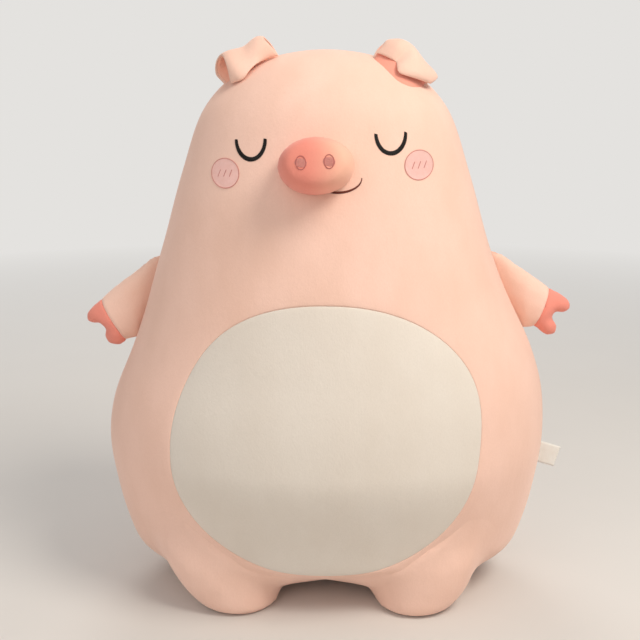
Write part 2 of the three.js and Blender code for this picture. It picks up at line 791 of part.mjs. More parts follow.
function addLabel() {
  const frame = seamFrame(labelLevel);
  const half = labelTape + labelSlit / 2;
  const slit = labelSlit / 2;
  const tape = outlineShape([
    [0, -half],
    [labelLength, -half],
    [labelLength, half],
    [0, half],
    [0, slit],
    [labelLength - labelTape, slit],
    [labelLength - labelTape, -slit],
    [0, -slit],
  ]);
  const geometry = new THREE.ExtrudeGeometry(tape, { depth: labelWidth, bevelEnabled: false });
  geometry.translate(0, 0, -labelWidth / 2);
  const turn = THREE.MathUtils.radToDeg(labelDroop);
  const place = frame.place.clone().addScaledVector(frame.out, rootGap);
  const solid = solidOf(geometry).rotate([0, turn, 0]).translate([place.x, 0, place.z]);
  addPiece('care_label', solid.subtract(rootKeepOut), tapeWhite);
}

addBody();
addClosingSeam();
addFace(placeSnout(snoutForm(-seamGap)));
addSnout();
addEar('left', 1, leftEar);
addEar('right', -1, rightEar);
addArm('left', 1, leftArm);
addArm('right', -1, rightArm);
addLeg('left', 1, leftLeg);
addLeg('right', -1, rightLeg);
addTail();
addLabel();

export default pig;
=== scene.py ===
# Stuffed toy pig: its plush covers, its embroidery and its care label, built round the part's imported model.
# Metres, +Z up. The face and the belly look towards -Y, and the pig's own left is +X.

import json
import math

import bmesh
import bpy
import numpy as np
from mathutils import Matrix, Vector, kdtree
from mathutils.bvhtree import BVHTree


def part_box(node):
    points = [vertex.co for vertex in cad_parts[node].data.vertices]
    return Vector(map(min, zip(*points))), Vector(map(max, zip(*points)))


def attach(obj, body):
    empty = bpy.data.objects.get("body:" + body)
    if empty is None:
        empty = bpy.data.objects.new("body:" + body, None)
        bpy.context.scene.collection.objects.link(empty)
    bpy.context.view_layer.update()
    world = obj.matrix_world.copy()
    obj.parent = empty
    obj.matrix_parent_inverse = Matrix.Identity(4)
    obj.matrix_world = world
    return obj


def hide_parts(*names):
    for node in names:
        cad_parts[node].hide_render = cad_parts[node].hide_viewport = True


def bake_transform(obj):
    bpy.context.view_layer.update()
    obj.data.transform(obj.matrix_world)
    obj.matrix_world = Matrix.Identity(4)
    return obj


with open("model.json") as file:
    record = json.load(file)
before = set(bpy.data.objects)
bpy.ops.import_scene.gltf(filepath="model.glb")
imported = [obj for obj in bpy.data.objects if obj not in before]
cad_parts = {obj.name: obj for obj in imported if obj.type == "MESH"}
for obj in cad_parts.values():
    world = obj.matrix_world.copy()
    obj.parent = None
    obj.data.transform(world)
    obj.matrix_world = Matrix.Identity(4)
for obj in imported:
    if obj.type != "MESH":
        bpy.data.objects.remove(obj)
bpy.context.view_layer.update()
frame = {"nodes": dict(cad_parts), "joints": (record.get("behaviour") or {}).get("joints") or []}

bl_info = {
    "name": "Stuffed toy pig",
    "version": (1, 0, 0),
    "blender": (4, 5, 0),
    "location": "3D View > Sidebar > Toy pig",
    "description": "Builds a sitting stuffed pig: covers, embroidery, ears, arms, legs, tail and care label",
    "category": "Add Mesh",
}

MM = 0.001

# Body outline seen from the front: heights above the surface and half widths
BODY_TOP = 0.685
BODY_OUTLINE = [
    (0.004, 0.136),
    (0.017, 0.214),
    (0.052, 0.247),
    (0.100, 0.265),
    (0.150, 0.275),
    (0.205, 0.281),
    (0.260, 0.275),
    (0.320, 0.254),
    (0.380, 0.229),
    (0.450, 0.204),
    (0.540, 0.177),
    (0.620, 0.146),
    (0.665, 0.094),
]
RESTING_CUT = 0.0005
OUTLINE_STEPS = 40

# Body depth before and behind the side seam, as shares of the half width at four heights
DEPTH_LEVELS = (0.0, 0.070, 0.205, 0.540)
FRONT_DEPTH = (0.22, 0.58, 0.70, 0.78)
BACK_DEPTH = (0.60, 0.60, 0.61, 0.68)

# Rings and columns of the body's mesh
BODY_COLUMNS = 160
BELLY_RINGS = 22
FRONT_RINGS = 34
BACK_RINGS = 44
SEAM_RING = 0.012

# The belly panel's outline is an oval with fuller corners, by this power of its width and height shares
BELLY_POWER = 2.2

# Voxels of the forms that are melted into one skin, and of the coarser forms that are blown up as cloth
BODY_VOXEL = 0.006
LEG_VOXEL = 0.004
ARM_VOXEL = 0.0024
SNOUT_VOXEL = 0.0022
TAIL_VOXEL = 0.0011
BODY_CLOTH_VOXEL = 0.008
LIMB_CLOTH_VOXEL = 0.004

# The fabric in the simulation: its settings, the pressure of the filling and the number of frames
FABRIC = {
    "quality": 4,
    "mass": 0.25,
    "tension_stiffness": 10,
    "compression_stiffness": 10,
    "shear_stiffness": 4,
    "bending_stiffness": 0.4,
    "use_pressure": True,
    "uniform_pressure_force": 4.0,
    "vertex_group_mass": "held",
}
FRAMES = 20

# The limbs' fabric moves no further than this
LIMB_CAP = 0.003

# Legs: the share of the puff by which they start inside their solids, the height over which this eases in
# above the floor, how close to its leg a cover stays above the body, and how deep it dives at its rim
LEG_INSET = 0.8
FLOOR_EASE = 0.03
STAYS_ABOVE = 0.004
RIM_DIVE = 0.0036

# The joint of a leg with the body is filled fully up to the first distance, and no further than the second
JOINT_FILLED = (0.030, 0.080)
JOINT_ROUNDS = 300

# Arms: how near to the side seam their own seam runs, its depth and width, the depth and width of the cuff's
# seam, and how far an arm's root reaches off the body
ARM_SEAM_NEAR = 0.0016
ARM_SEAM = (0.0009, 0.0035)
CUFF_SEAM = (0.0014, 0.004)
ARM_ROOT = 0.0025

# Stitches that close the back: their pitch, and how far they reach past the solid's sides
CLOSING_PITCH = 0.0045
CLOSING_REACH = 0.0012

SIDES = {"left": 1, "right": -1}


def colour(code):
    """A written colour as the linear numbers that shaders take."""
    parts = [int(code[i : i + 2], 16) / 255 for i in (0, 2, 4)]
    return tuple(((c + 0.055) / 1.055) ** 2.4 if c > 0.04045 else c / 12.92 for c in parts)


def length_property(name, description, default):
    return bpy.props.FloatProperty(
        name=name, description=description, default=default, min=0.0,
        unit="LENGTH", subtype="DISTANCE", precision=5,
    )


def angle_property(name, description, degrees):
    return bpy.props.FloatProperty(
        name=name, description=description, default=math.radians(degrees), unit="ROTATION", subtype="ANGLE"
    )


def colour_property(name, description, code):
    return bpy.props.FloatVectorProperty(
        name=name, description=description, default=colour(code), size=3, min=0.0, max=1.0, subtype="COLOR"
    )


class PigSizes(bpy.types.PropertyGroup):
    """Sizes of the covers, the seams and the embroidery"""

    belly_width: length_property("Belly width", "Width of the cream belly panel", 0.364)
    belly_height: length_property("Belly height", "Height of the cream belly panel", 0.340)
    belly_level: length_property("Belly level", "Height of the belly panel's middle", 0.232)
    seam_depth: length_property("Seam depth", "How deep a seam draws the plush in", 0.0013)
    seam_width: length_property("Seam width", "How far from a seam the plush starts to roll in", 0.0070)
    seam_lip: length_property("Seam allowance", "How far a cover's edge is turned in at a seam", 0.0035)
    cover: length_property("Cover thickness", "Thickness of the plush with its backing", 0.0018)
    puff: length_property("Puff", "How far the filling swells a cover between its seams", 0.006)
    fillet: length_property("Leg blend", "How far a leg's cover runs up over the body", 0.082)
    leg_spread: length_property("Leg spread", "How far the filling pushes a leg out at its outer side", 0.008)
    lean: length_property("Lean", "How far the middle of the body leans to its own left", 0.008)
    eye_width: length_property("Eye width", "Width of an eye's curve", 0.034)
    eye_depth: length_property("Eye depth", "Depth of an eye's curve", 0.022)
    eye_line: length_property("Eye line", "Widest part of an eye's line of stitches", 0.0058)
    mouth_line: length_property("Mouth line", "Widest part of the mouth's line of stitches", 0.0032)
    cheek_line: length_property("Cheek line", "Width of a cheek's border", 0.0012)
    thread: length_property("Thread", "Thickness of the embroidery thread", 0.0006)
    face_tilt: angle_property("Face tilt", "How far the face is turned on the head", 2.5)
    shoulder: length_property("Shoulder", "How far the filling lifts the top of an arm's root", 0.010)
    hoof_bend: angle_property("Hoof bend", "How far a hoof bends down from its cuff", 6)
    label_droop: angle_property("Label droop", "How far the care label hangs down", 16)
    ear_layer: length_property("Ear layer", "Thickness of each of an ear's two layers", 0.0024)


class PigColours(bpy.types.PropertyGroup):
    """Colours of the plush, the threads and the label"""

    pink: colour_property("Pink plush", "Body, arms, legs, tail and the outside of the ears", "fad3c2")
    cream: colour_property("Cream plush", "Belly panel", "e8dfd4")
    coral: colour_property("Coral plush", "Snout, hooves and the lining of the ears", "f59a8a")
    # Painted light: this paler coral is coral as the key light shows it, painted on the snout's lit side and
    # on the ears' linings
    coral_painted_light: colour_property("Coral with painted light", "Coral paled by painted light on the snout's lit side and the ear linings", "fac3a9")
    rose: colour_property("Rose thread", "Cheeks", "fdd4cd")
    rose_dark: colour_property("Dark rose thread", "Borders and strokes of the cheeks, nostrils", "bf6a64")
    rose_worn: colour_property("Light rose thread", "Dark rose thread where light catches it", "f0b0a4")
    dark: colour_property("Dark thread", "Eyes", "0e0908")
    dark_worn: colour_property("Brown thread", "Mouth", "7c4034")
    seam_thread: colour_property("Seam thread", "Stitches that close the back", "e9b4a4")
    tape: colour_property("Label tape", "Care label", "f1f0ea")
    floor: colour_property("Floor", "Floor that the toy sits on", "d9d6d2")
    backdrop: colour_property("Backdrop", "What is behind the toy", "e4e2df")


def sizes():
    return bpy.context.scene.pig_sizes


def colours():
    return bpy.context.scene.pig_colours


# Materials


def node(tree, kind, **values):
    """A new shader node, with its attributes and its inputs' values set by name."""
    made = tree.nodes.new(kind)
    for name, value in values.items():
        if name in made.inputs:
            made.inputs[name].default_value = value
        else:
            setattr(made, name, value)
    return made


def shader_start(name):
    """A new material with its tree, its main shader and a texture coordinate node."""
    material = bpy.data.materials.new(name)
    material.use_nodes = True
    tree = material.node_tree
    return material, tree, tree.nodes["Principled BSDF"], tree.nodes.new("ShaderNodeTexCoord")


def noise(tree, place, scale, detail=2.0, stretch=(1, 1, 1)):
    """A noise pattern on a piece's own place, finer along the axes that are stretched less."""
    mapping = node(tree, "ShaderNodeMapping")
    mapping.inputs["Scale"].default_value = stretch
    tree.links.new(place.outputs["Object"], mapping.inputs["Vector"])
    pattern = node(tree, "ShaderNodeTexNoise", Scale=scale, Detail=detail, Roughness=0.55)
    tree.links.new(mapping.outputs["Vector"], pattern.inputs["Vector"])
    return pattern.outputs["Fac"]


def spread(tree, value, low, high, to_low, to_high):
    """Maps a value from one range to another."""
    ranged = node(tree, "ShaderNodeMapRange")
    for name, number in zip(("From Min", "From Max", "To Min", "To Max"), (low, high, to_low, to_high)):
        ranged.inputs[name].default_value = number
    tree.links.new(value, ranged.inputs["Value"])
    return ranged.outputs["Result"]


def mixed(tree, share, first, second):
    """A colour between two others, each a colour or a link."""
    mix = node(tree, "ShaderNodeMix", data_type="RGBA")
    tree.links.new(share, mix.inputs["Factor"])
    for socket, value in ((mix.inputs[6], first), (mix.inputs[7], second)):
        if isinstance(value, bpy.types.NodeSocket):
            tree.links.new(value, socket)
        else:
            socket.default_value = (*value, 1)
    return mix.outputs[2]


def bumped(tree, shader, layers):
    """Bump from one or more patterns, each with its distance in metres, one upon the other."""
    before = None
    for height, distance in layers:
        bump = node(tree, "ShaderNodeBump", Strength=1.0, Distance=distance)
        tree.links.new(height, bump.inputs["Height"])
        if before:
            tree.links.new(before, bump.inputs["Normal"])
        before = bump.outputs["Normal"]
    tree.links.new(before, shader.inputs["Normal"])


def darker(base, share, warm=0.0):
    """A deeper tone of a colour, warmer where warm is above zero."""
    return tuple(c * share * (1 - warm * i / 2) for i, c in enumerate(base))


def pale_tone_and_painted_light(tree, below, pale):
    """A colour with a pale tone over it by each vertex's share: on coral plush this is painted light, on
    threads the thread's own lighter tone.
    """
    share = node(tree, "ShaderNodeAttribute", attribute_name="tone_and_painted_light")
    return mixed(tree, share.outputs["Fac"], below, pale)


def plush(name, base, deep_share=0.88, warm=0.12, sheen=0.35, pale=None):
    """Short, dense pile: fine tufts, patches where its nap was brushed another way, and a soft bloom at its
    edges.
    Where a mesh carries a share of the pale tone, that painted light shows over the pile as a painted
    highlight."""
    material, tree, shader, place = shader_start(name)
    tufts = noise(tree, place, 620, 3.0, (1, 1, 0.6))
    clumps = noise(tree, place, 150, 3.0, (1, 1, 0.7))
    strokes = noise(tree, place, 16, 3.0, (1, 0.8, 0.5))
    deep = darker(base, deep_share, warm)
    tone_and_painted_light = mixed(tree, spread(tree, strokes, 0.35, 0.68, 0.0, 0.55), base, deep)
    speckled = mixed(tree, spread(tree, tufts, 0.30, 0.75, 0.25, 0.0), tone_and_painted_light, darker(base, 0.84, warm))
    # Painted light: the pale tone is a painted highlight on the snout's lit side and on the lit ear linings
    if pale:
        speckled = pale_tone_and_painted_light(tree, speckled, pale)
    tree.links.new(speckled, shader.inputs["Base Color"])
    tree.links.new(spread(tree, clumps, 0.3, 0.7, 0.86, 0.98), shader.inputs["Roughness"])
    shader.inputs["Specular IOR Level"].default_value = 0.2
    shader.inputs["Sheen Weight"].default_value = sheen
    shader.inputs["Sheen Roughness"].default_value = 0.45
    shader.inputs["Sheen Tint"].default_value = (*[0.5 + c / 2 for c in base], 1)
    bumped(tree, shader, [(strokes, 0.0008), (clumps, 0.0003), (tufts, 0.0002)])
    return material


def thread(name, base, sheen=0.1, deep_share=0.80, pale=None):
    """Polyester embroidery thread with a low gloss and its plies. Where a mesh has the attribute stroked, the
    pale tone shows."""
    material, tree, shader, place = shader_start(name)
    plies = noise(tree, place, 2600, 2.0)
    tones = noise(tree, place, 240, 2.0)
    toned = mixed(tree, spread(tree, tones, 0.35, 0.7, 0.0, 0.6), base, darker(base, deep_share, 0.1))
    if pale:
        toned = pale_tone_and_painted_light(tree, toned, pale)
    tree.links.new(toned, shader.inputs["Base Color"])
    tree.links.new(spread(tree, plies, 0.3, 0.7, 0.45, 0.68), shader.inputs["Roughness"])
    shader.inputs["Specular IOR Level"].default_value = 0.3
    shader.inputs["Sheen Weight"].default_value = sheen
    bumped(tree, shader, [(plies, 0.00012)])
    return material


def tape(name, base):
    """Woven label tape, a fine plain weave with a slight satin gloss."""
    material, tree, shader, place = shader_start(name)
    crossing = []
    for direction in ("X", "Z"):
        wave = node(tree, "ShaderNodeTexWave", bands_direction=direction, Scale=700.0, Distortion=0.4)
        tree.links.new(place.outputs["Object"], wave.inputs["Vector"])
        crossing.append(wave.outputs["Fac"])
    weave = node(tree, "ShaderNodeMath", operation="MAXIMUM")
    tree.links.new(crossing[0], weave.inputs[0])
    tree.links.new(crossing[1], weave.inputs[1])
    stain = noise(tree, place, 90, 2.0)
    toned = mixed(tree, spread(tree, stain, 0.4, 0.7, 0.0, 0.5), base, darker(base, 0.93, 0.06))
    tree.links.new(toned, shader.inputs["Base Color"])
    tree.links.new(spread(tree, weave.outputs[0], 0.0, 1.0, 0.7, 0.5), shader.inputs["Roughness"])
    bumped(tree, shader, [(weave.outputs[0], 0.00008)])
    return material


def finish(slot):
    """The material of one of the part's finishes, made the first time it is asked for."""
    if slot in bpy.data.materials and "toy_finish" in bpy.data.materials[slot]:
        return bpy.data.materials[slot]
    c = colours()
    makers = {
        "plush_pink": lambda: plush("plush_pink", c.pink),
        "plush_cream": lambda: plush("plush_cream", c.cream, 0.93, 0.05),
        "plush_coral": lambda: plush("plush_coral", c.coral, 0.88, 0.1, pale=c.coral_painted_light),
        "plush_rose": lambda: thread("plush_rose", c.rose, 0.3, 0.94),
        "thread_rose": lambda: thread("thread_rose", c.rose_dark, pale=c.rose_worn),
        "thread_dark": lambda: thread("thread_dark", c.dark, 0.0, pale=c.dark_worn),
        "thread_pink": lambda: thread("thread_pink", c.seam_thread),
        "label_tape": lambda: tape("label_tape", c.tape),
    }
    made = makers[slot]()
    made["toy_finish"] = True
    return made


# Pieces


def add_piece(name, bm, slot, rides, stands_for=(), wall=0.0, subdivide=0, deeper=True):
    """Makes a finished piece of a bmesh. It rides on a body where rides names one; where rides is a body, a
    second body and the points at which a bend would start and end, it rides on none and only its transform is
    baked."""
    mesh = bpy.data.meshes.new(name)
    bm.to_mesh(mesh)
    bm.free()
    mesh.shade_smooth()
    mesh.materials.append(finish(slot))
    piece = bpy.data.objects.new(name, mesh)
    bpy.context.scene.collection.objects.link(piece)
    if wall:
        solidify = piece.modifiers.new("Cover thickness", "SOLIDIFY")
        solidify.thickness = wall
        solidify.offset = -1.0 if deeper else 0.0
    if subdivide:
        rounding = piece.modifiers.new("Rounding", "SUBSURF")
        rounding.levels = subdivide
        rounding.render_levels = subdivide
    if isinstance(rides, str):
        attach(piece, rides)
    else:
        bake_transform(piece)
    if stands_for:
        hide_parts(*stands_for)
    return piece


def tone_and_painted_light(bm, share):
    """Marks how far the pale tone shows at each vertex: painted light on the snout and the ear linings, a
    lighter tone of its own on threads.
    """
    layer = bm.verts.layers.float.new("tone_and_painted_light")
    for vertex in bm.verts:
        vertex[layer] = float(share(vertex.co))
    return bm


def cad_copy(names):
    """The solids of some nodes of the part, merged into one bmesh."""
    bm = bmesh.new()
    for name in names:
        bm.from_mesh(frame["nodes"][name].data)
    bmesh.ops.remove_doubles(bm, verts=bm.verts, dist=0.00001)
    return bm


def solid_surface(names):
    """A tree of the outer surfaces of some solids of the part."""
    bm = cad_copy(names)
    tree = BVHTree.FromBMesh(bm)
    bm.free()
    return tree


def joint_of(name):
    return next(joint for joint in frame["joints"] if joint["name"] == name)


def melted(bm, voxel, rounds=0, factor=0.5):
    """One closed skin round everything in a bmesh, with its steps smoothed away."""
    mesh = bpy.data.meshes.new("melting")
    bm.to_mesh(mesh)
    bm.free()
    holder = bpy.data.objects.new("melting", mesh)
    bpy.context.scene.collection.objects.link(holder)
    remesh = holder.modifiers.new("Skin", "REMESH")
    remesh.mode = "VOXEL"
    remesh.voxel_size = voxel
    remesh.adaptivity = 0.0
    graph = bpy.context.evaluated_depsgraph_get()
    skin = bmesh.new()
    skin.from_object(holder, graph)
    bpy.data.objects.remove(holder)
    bpy.data.meshes.remove(mesh)
    skin = largest_part(skin)
    for _ in range(rounds):
        bmesh.ops.smooth_vert(
            skin, verts=skin.verts, factor=factor, use_axis_x=True, use_axis_y=True, use_axis_z=True
        )
    return skin


def largest_part(bm):
    """Keeps the part of a bmesh that has the most vertices."""
    bm.verts.ensure_lookup_table()
    seen = set()
    groups = []
    for start in bm.verts:
        if start in seen:
            continue
        group = [start]
        seen.add(start)
        for vertex in group:
            for edge in vertex.link_edges:
                other = edge.other_vert(vertex)
                if other not in seen:
                    seen.add(other)
                    group.append(other)
        groups.append(group)
    groups.sort(key=len)
    spare = [vertex for group in groups[:-1] for vertex in group]
    bmesh.ops.delete(bm, geom=spare, context="VERTS")
    return bm


def coordinates(bm):
    return np.array([v.co for v in bm.verts], float).reshape(-1, 3)


def move_to(bm, points):
    for vertex, point in zip(bm.verts, points):
        vertex.co = point
    bm.normal_update()


def tree_of(points):
    tree = kdtree.KDTree(len(points))
    for i, point in enumerate(points):
        tree.insert(point, i)
    tree.balance()
    return tree


def distances(points, tree):
    return np.array([tree.find(p)[2] for p in points])


def smooth_step(values, low, high):
    t = np.clip((values - low) / (high - low), 0, 1)
    return t * t * (3 - 2 * t)


# Filling


def swell(bm, pins, hold, cap, voxel):
    """Blows a closed form up as its filling does, with the fabric held near the pins, and moves the form's
    vertices with it. Nothing moves further than the cap."""
    rest_form = melted(bm.copy(), voxel, 2)
    rest = coordinates(rest_form)
    mesh = bpy.data.meshes.new("swelling")
    rest_form.to_mesh(mesh)
    rest_form.free()
    cloth_piece = bpy.data.objects.new("swelling", mesh)
    bpy.context.scene.collection.objects.link(cloth_piece)
    held = cloth_piece.vertex_groups.new(name="held")
    pin_tree = tree_of(pins)
    weights = 1 - smooth_step(distances(rest, pin_tree), hold * 0.5, hold)
    for i in np.nonzero(weights > 0)[0]:
        held.add([int(i)], float(weights[i]), "REPLACE")
    cloth = cloth_piece.modifiers.new("Fabric", "CLOTH")
    for name, value in FABRIC.items():
        setattr(cloth.settings, name, value)
    cloth.settings.effector_weights.gravity = 0
    cloth.collision_settings.use_collision = False
    cloth.point_cache.frame_start = 1
    cloth.point_cache.frame_end = FRAMES
    for frame_number in range(1, FRAMES + 1):
        bpy.context.scene.frame_set(frame_number)
    graph = bpy.context.evaluated_depsgraph_get()
    blown = cloth_piece.evaluated_get(graph)
    moved = np.array([v.co for v in blown.data.vertices], float).reshape(-1, 3)
    bpy.data.objects.remove(cloth_piece)
    bpy.context.scene.frame_set(1)
    shift = moved - rest
    length = np.linalg.norm(shift, axis=1, keepdims=True)
    shift *= cap * np.tanh(length / cap) / np.maximum(length, 1e-9)
    carry(bm, rest, shift)


def carry(bm, rest, shift, near=6):
    """Moves the vertices of a bmesh as the nearest of the given points moved."""
    rest_tree = tree_of(rest)
    for vertex in bm.verts:
        total = Vector((0, 0, 0))
        weight = 0.0
        for _, index, distance in rest_tree.find_n(vertex.co, near):
            share = 1 / (distance + 0.0005)
            total += Vector(shift[index]) * share
            weight += share
        vertex.co += total / weight
    bm.normal_update()


# Body


def outline_curve():
    """Places along the right side of the body's outline, from the bottom to the top: the share of its length,
    the half width and the height, from a smooth curve through the outline's points."""
    side = [(half, height) for height, half in BODY_OUTLINE]
    bottom, top = (0.0, -RESTING_CUT), (0.0, BODY_TOP)
    ahead, behind = (-side[0][0], side[0][1]), (-side[-1][0], side[-1][1])
    points = np.array([ahead, bottom, *side, top, behind], float)
    line = [points[1]]
    for p0, p1, p2, p3 in zip(points, points[1:], points[2:], points[3:]):
        d0, d1, d2 = (math.sqrt(np.linalg.norm(b - a)) for a, b in ((p0, p1), (p1, p2), (p2, p3)))
        start = ((p1 - p0) / d0 - (p2 - p0) / (d0 + d1) + (p2 - p1) / d1) * d1
        end = ((p2 - p1) / d1 - (p3 - p1) / (d1 + d2) + (p3 - p2) / d2) * d1
        for t in np.linspace(0, 1, OUTLINE_STEPS + 1)[1:]:
            line.append(
                (2 * t**3 - 3 * t**2 + 1) * p1
                + (t**3 - 2 * t**2 + t) * start
                + (3 * t**2 - 2 * t**3) * p2
                + (t**3 - t**2) * end
            )
    line = np.array(line)
    along = np.concatenate([[0], np.cumsum(np.linalg.norm(np.diff(line, axis=0), axis=1))])
    return along / along[-1], line[:, 0], line[:, 1]


OUTLINE_SHARE, OUTLINE_HALF, OUTLINE_HEIGHT = outline_curve()


def eased(values, levels, shares):
    """A share that eases from level to level."""
    index = np.clip(np.searchsorted(levels, values) - 1, 0, len(levels) - 2)
    low, high = np.take(levels, index), np.take(levels, index + 1)
    part = smooth_step(values, low, high)
    return np.take(shares, index) * (1 - part) + np.take(shares, index + 1) * part


def body_points(turn, spread_angle, belly_level):
    """Points of the body's surface. Turn goes round the belly's middle, and spread goes from there, 0, over
    the side seam, half of pi, to the middle of the back, pi."""
    across = np.sin(spread_angle) * np.cos(turn)
    forward = -np.cos(spread_angle)
    up = np.sin(spread_angle) * np.sin(turn)
    latitude = np.arcsin(np.clip(up, -1, 1)) / (math.pi / 2)
    level_share = np.interp(belly_level, OUTLINE_HEIGHT, OUTLINE_SHARE)
    share = 0.5 + latitude / 2 + (level_share - 0.5) * (1 - latitude**2)
    half = np.interp(share, OUTLINE_SHARE, OUTLINE_HALF)
    height = np.interp(share, OUTLINE_SHARE, OUTLINE_HEIGHT)
    level = np.hypot(across, forward)
    flat = np.maximum(level, 1e-9)
    before, behind = (eased(height, DEPTH_LEVELS, shares) for shares in (FRONT_DEPTH, BACK_DEPTH))
    depth = np.where(forward < 0, before, behind)
    x = half * np.where(level > 1e-9, across / flat, 0)
    y = half * depth * np.where(level > 1e-9, forward / flat, 0)
    return np.stack([x, y, height], axis=-1)


def belly_oval(points):
    """Where points lie in the belly panel's outline as seen from the front: below 1 inside, 1 on its edge."""
    s = sizes()
    x = np.abs(points[..., 0]) / (s.belly_width / 2)
    z = np.abs(points[..., 2] - s.belly_level) / (s.belly_height / 2)
    return x**BELLY_POWER + z**BELLY_POWER


def belly_edge(turn):
    """The spread at which each turn crosses the belly panel's edge."""
    low, high = np.zeros_like(turn), np.full_like(turn, math.pi / 2)
    for _ in range(30):
        middle = (low + high) / 2
        inside = belly_oval(body_points(turn, middle, sizes().belly_level)) < 1
        low = np.where(inside, middle, low)
        high = np.where(inside, high, middle)
    return low


def ring_spreads(turn):
    """The spread of each ring of the body's mesh at each turn: closer together beside a seam."""
    edge = belly_edge(turn)
    side = np.full_like(turn, math.pi / 2)
    back = np.full_like(turn, math.pi)

    def between(start, end, rings, near_start, near_end):
        shares = np.linspace(0, 1, rings + 1)
        if near_start:
            shares[1] = SEAM_RING
            shares[2:-1] = np.linspace(shares[2] * 0.8, shares[-2], rings - 2)
        if near_end:
            shares[-2] = 1 - SEAM_RING
        return [start + (end - start) * share for share in shares]

    rings = between(0 * turn, edge, BELLY_RINGS, False, True)
    rings += between(edge, side, FRONT_RINGS, True, True)[1:]
    rings += between(side, back, BACK_RINGS, True, False)[1:]
    return np.array(rings)


def body_sphere():
    """The body's closed mesh, from a ball whose poles lie at the belly's middle and the back's, with the
    number of each vertex's ring."""
    rings = BELLY_RINGS + FRONT_RINGS + BACK_RINGS
    bm = bmesh.new()
    bmesh.ops.create_uvsphere(bm, u_segments=BODY_COLUMNS, v_segments=rings, radius=1.0)
    ball = coordinates(bm)
    ring = np.rint(np.arccos(np.clip(ball[:, 2], -1, 1)) / math.pi * rings).astype(int)
    turn = np.arctan2(ball[:, 1], ball[:, 0])
    spreads = ring_spreads(turn)
    place = body_points(turn, spreads[ring, np.arange(len(turn))], sizes().belly_level)
    layer = bm.verts.layers.int.new("ring")
    for vertex, number in zip(bm.verts, ring):
        vertex[layer] = int(number)
    move_to(bm, place)
    return bm


def lean_of(points):
    """The body is not quite upright: its middle leans to its own left."""
    shift = np.zeros_like(points)
    shift[:, 0] = sizes().lean * np.exp(-(((points[:, 2] - 0.320) / 0.070) ** 2))
    return points + shift


def body_normals(bm):
    bm.normal_update()
    return np.array([v.normal for v in bm.verts], float)


def seam_lines():
    """Points along the body's seams: round the belly, along both sides and down the middle of the back."""
    turns = np.linspace(-math.pi, math.pi, 721)
    level = sizes().belly_level
    belly = body_points(turns, belly_edge(turns), level)
    side = body_points(turns, np.full_like(turns, math.pi / 2), level)
    spreads = np.linspace(math.pi / 2, math.pi, 200)
    up = body_points(np.full_like(spreads, math.pi / 2), spreads, level)
    down = body_points(np.full_like(spreads, -math.pi / 2), spreads, level)
    return lean_of(np.concatenate([belly, side, up, down]))


def drawn_in(points, normals, seam, depth, width):
    """Rolls a cover in towards a seam."""
    near = np.clip(distances(points, tree_of(seam)) / width, 0, 1)
    return points - normals * (depth * (1 - near) ** 2.4)[:, None]


def panel(bm, keep, name, slot, stands_for):
    """One panel of the body: the faces that keep names, with the edge turned in for the seam."""
    s = sizes()
    part = bm.copy()
    part.normal_update()
    crease = part.edges.layers.float.new("crease_edge")
    ring = part.verts.layers.int["ring"]
    inward = {v: v.normal.copy() for v in part.verts}
    spare = [f for f in part.faces if not keep([v[ring] for v in f.verts], f.calc_center_median())]
    bmesh.ops.delete(part, geom=spare, context="FACES")
    edge = [e for e in part.edges if e.is_boundary]
    for seam_edge in edge:
        seam_edge[crease] = 0.75
    source = {tuple(v.co): inward[v] for e in edge for v in e.verts}
    turned = bmesh.ops.extrude_edge_only(part, edges=edge)["geom"]
    for vertex in turned:
        if isinstance(vertex, bmesh.types.BMVert):
            vertex.co -= source[tuple(vertex.co)] * s.seam_lip
    part.normal_update()
    return add_piece(name, part, slot, "body", stands_for, wall=s.cover, subdivide=1)


def leg_nodes(side):
    return [f"{side}_leg_cover", f"{side}_leg_filling", f"{side}_leg_sole"]


def merged_skin(body):
    """The whole skin of the body with both legs, without the other limbs. The legs are drawn in a little, for
    the filling to swell, and stand out at their outer sides."""
    joined = body.copy()
    for side, sign in SIDES.items():
        leg = melted(cad_copy(leg_nodes(side)), LEG_VOXEL, 1)
        points = coordinates(leg)
        rise = smooth_step(points[:, 2], 0.0, FLOOR_EASE)
        points = points - body_normals(leg) * (LEG_INSET * sizes().puff * rise)[:, None]
        points[:, 0] += sign * sizes().leg_spread * rise * smooth_step(sign * points[:, 0], 0.10, 0.15)
        move_to(leg, points)
        mesh = bpy.data.meshes.new("legs")
        leg.to_mesh(mesh)
        leg.free()
        joined.from_mesh(mesh)
        bpy.data.meshes.remove(mesh)
    return melted(joined, BODY_VOXEL, 1)


def away_from(tree, points):
    return np.array([tree.find_nearest(p)[3] for p in points])


def filled(skin, weights, rounds):
    """Fills the hollows of a skin, where its weights are above zero, and takes nothing off its crests."""
    points = coordinates(skin)
    ends = np.array([[v.index for v in e.verts] for e in skin.edges])
    ends = ends[(weights[ends] > 0).any(axis=1)]
    count = np.maximum(np.bincount(ends.ravel(), minlength=len(points)), 1)[:, None]
    for turn in range(rounds):
        if turn % 10 == 0:
            move_to(skin, points)
            normals = np.array([v.normal for v in skin.verts], float)
        sums = np.zeros_like(points)
        for i in range(3):
            sums[:, i] += np.bincount(ends[:, 0], points[ends[:, 1], i], len(points))
            sums[:, i] += np.bincount(ends[:, 1], points[ends[:, 0], i], len(points))
        drift = sums / count - points
        rise = np.maximum((drift * normals).sum(axis=1), 0) * weights * 0.6
        points = points + normals * rise[:, None]
    move_to(skin, points)


def belly_reach(points):
    """How far points of the front lie outside the belly panel's edge, in its half widths. Inside the panel
    it's below 0, and behind the side seam it's 1."""
    return np.where(points[:, 1] < 0, belly_oval(points) ** (1 / BELLY_POWER) - 1, 1.0)


def seat_on_floor(bm, level=0.0):
    for vertex in bm.verts:
        vertex.co.z = max(vertex.co.z, level)


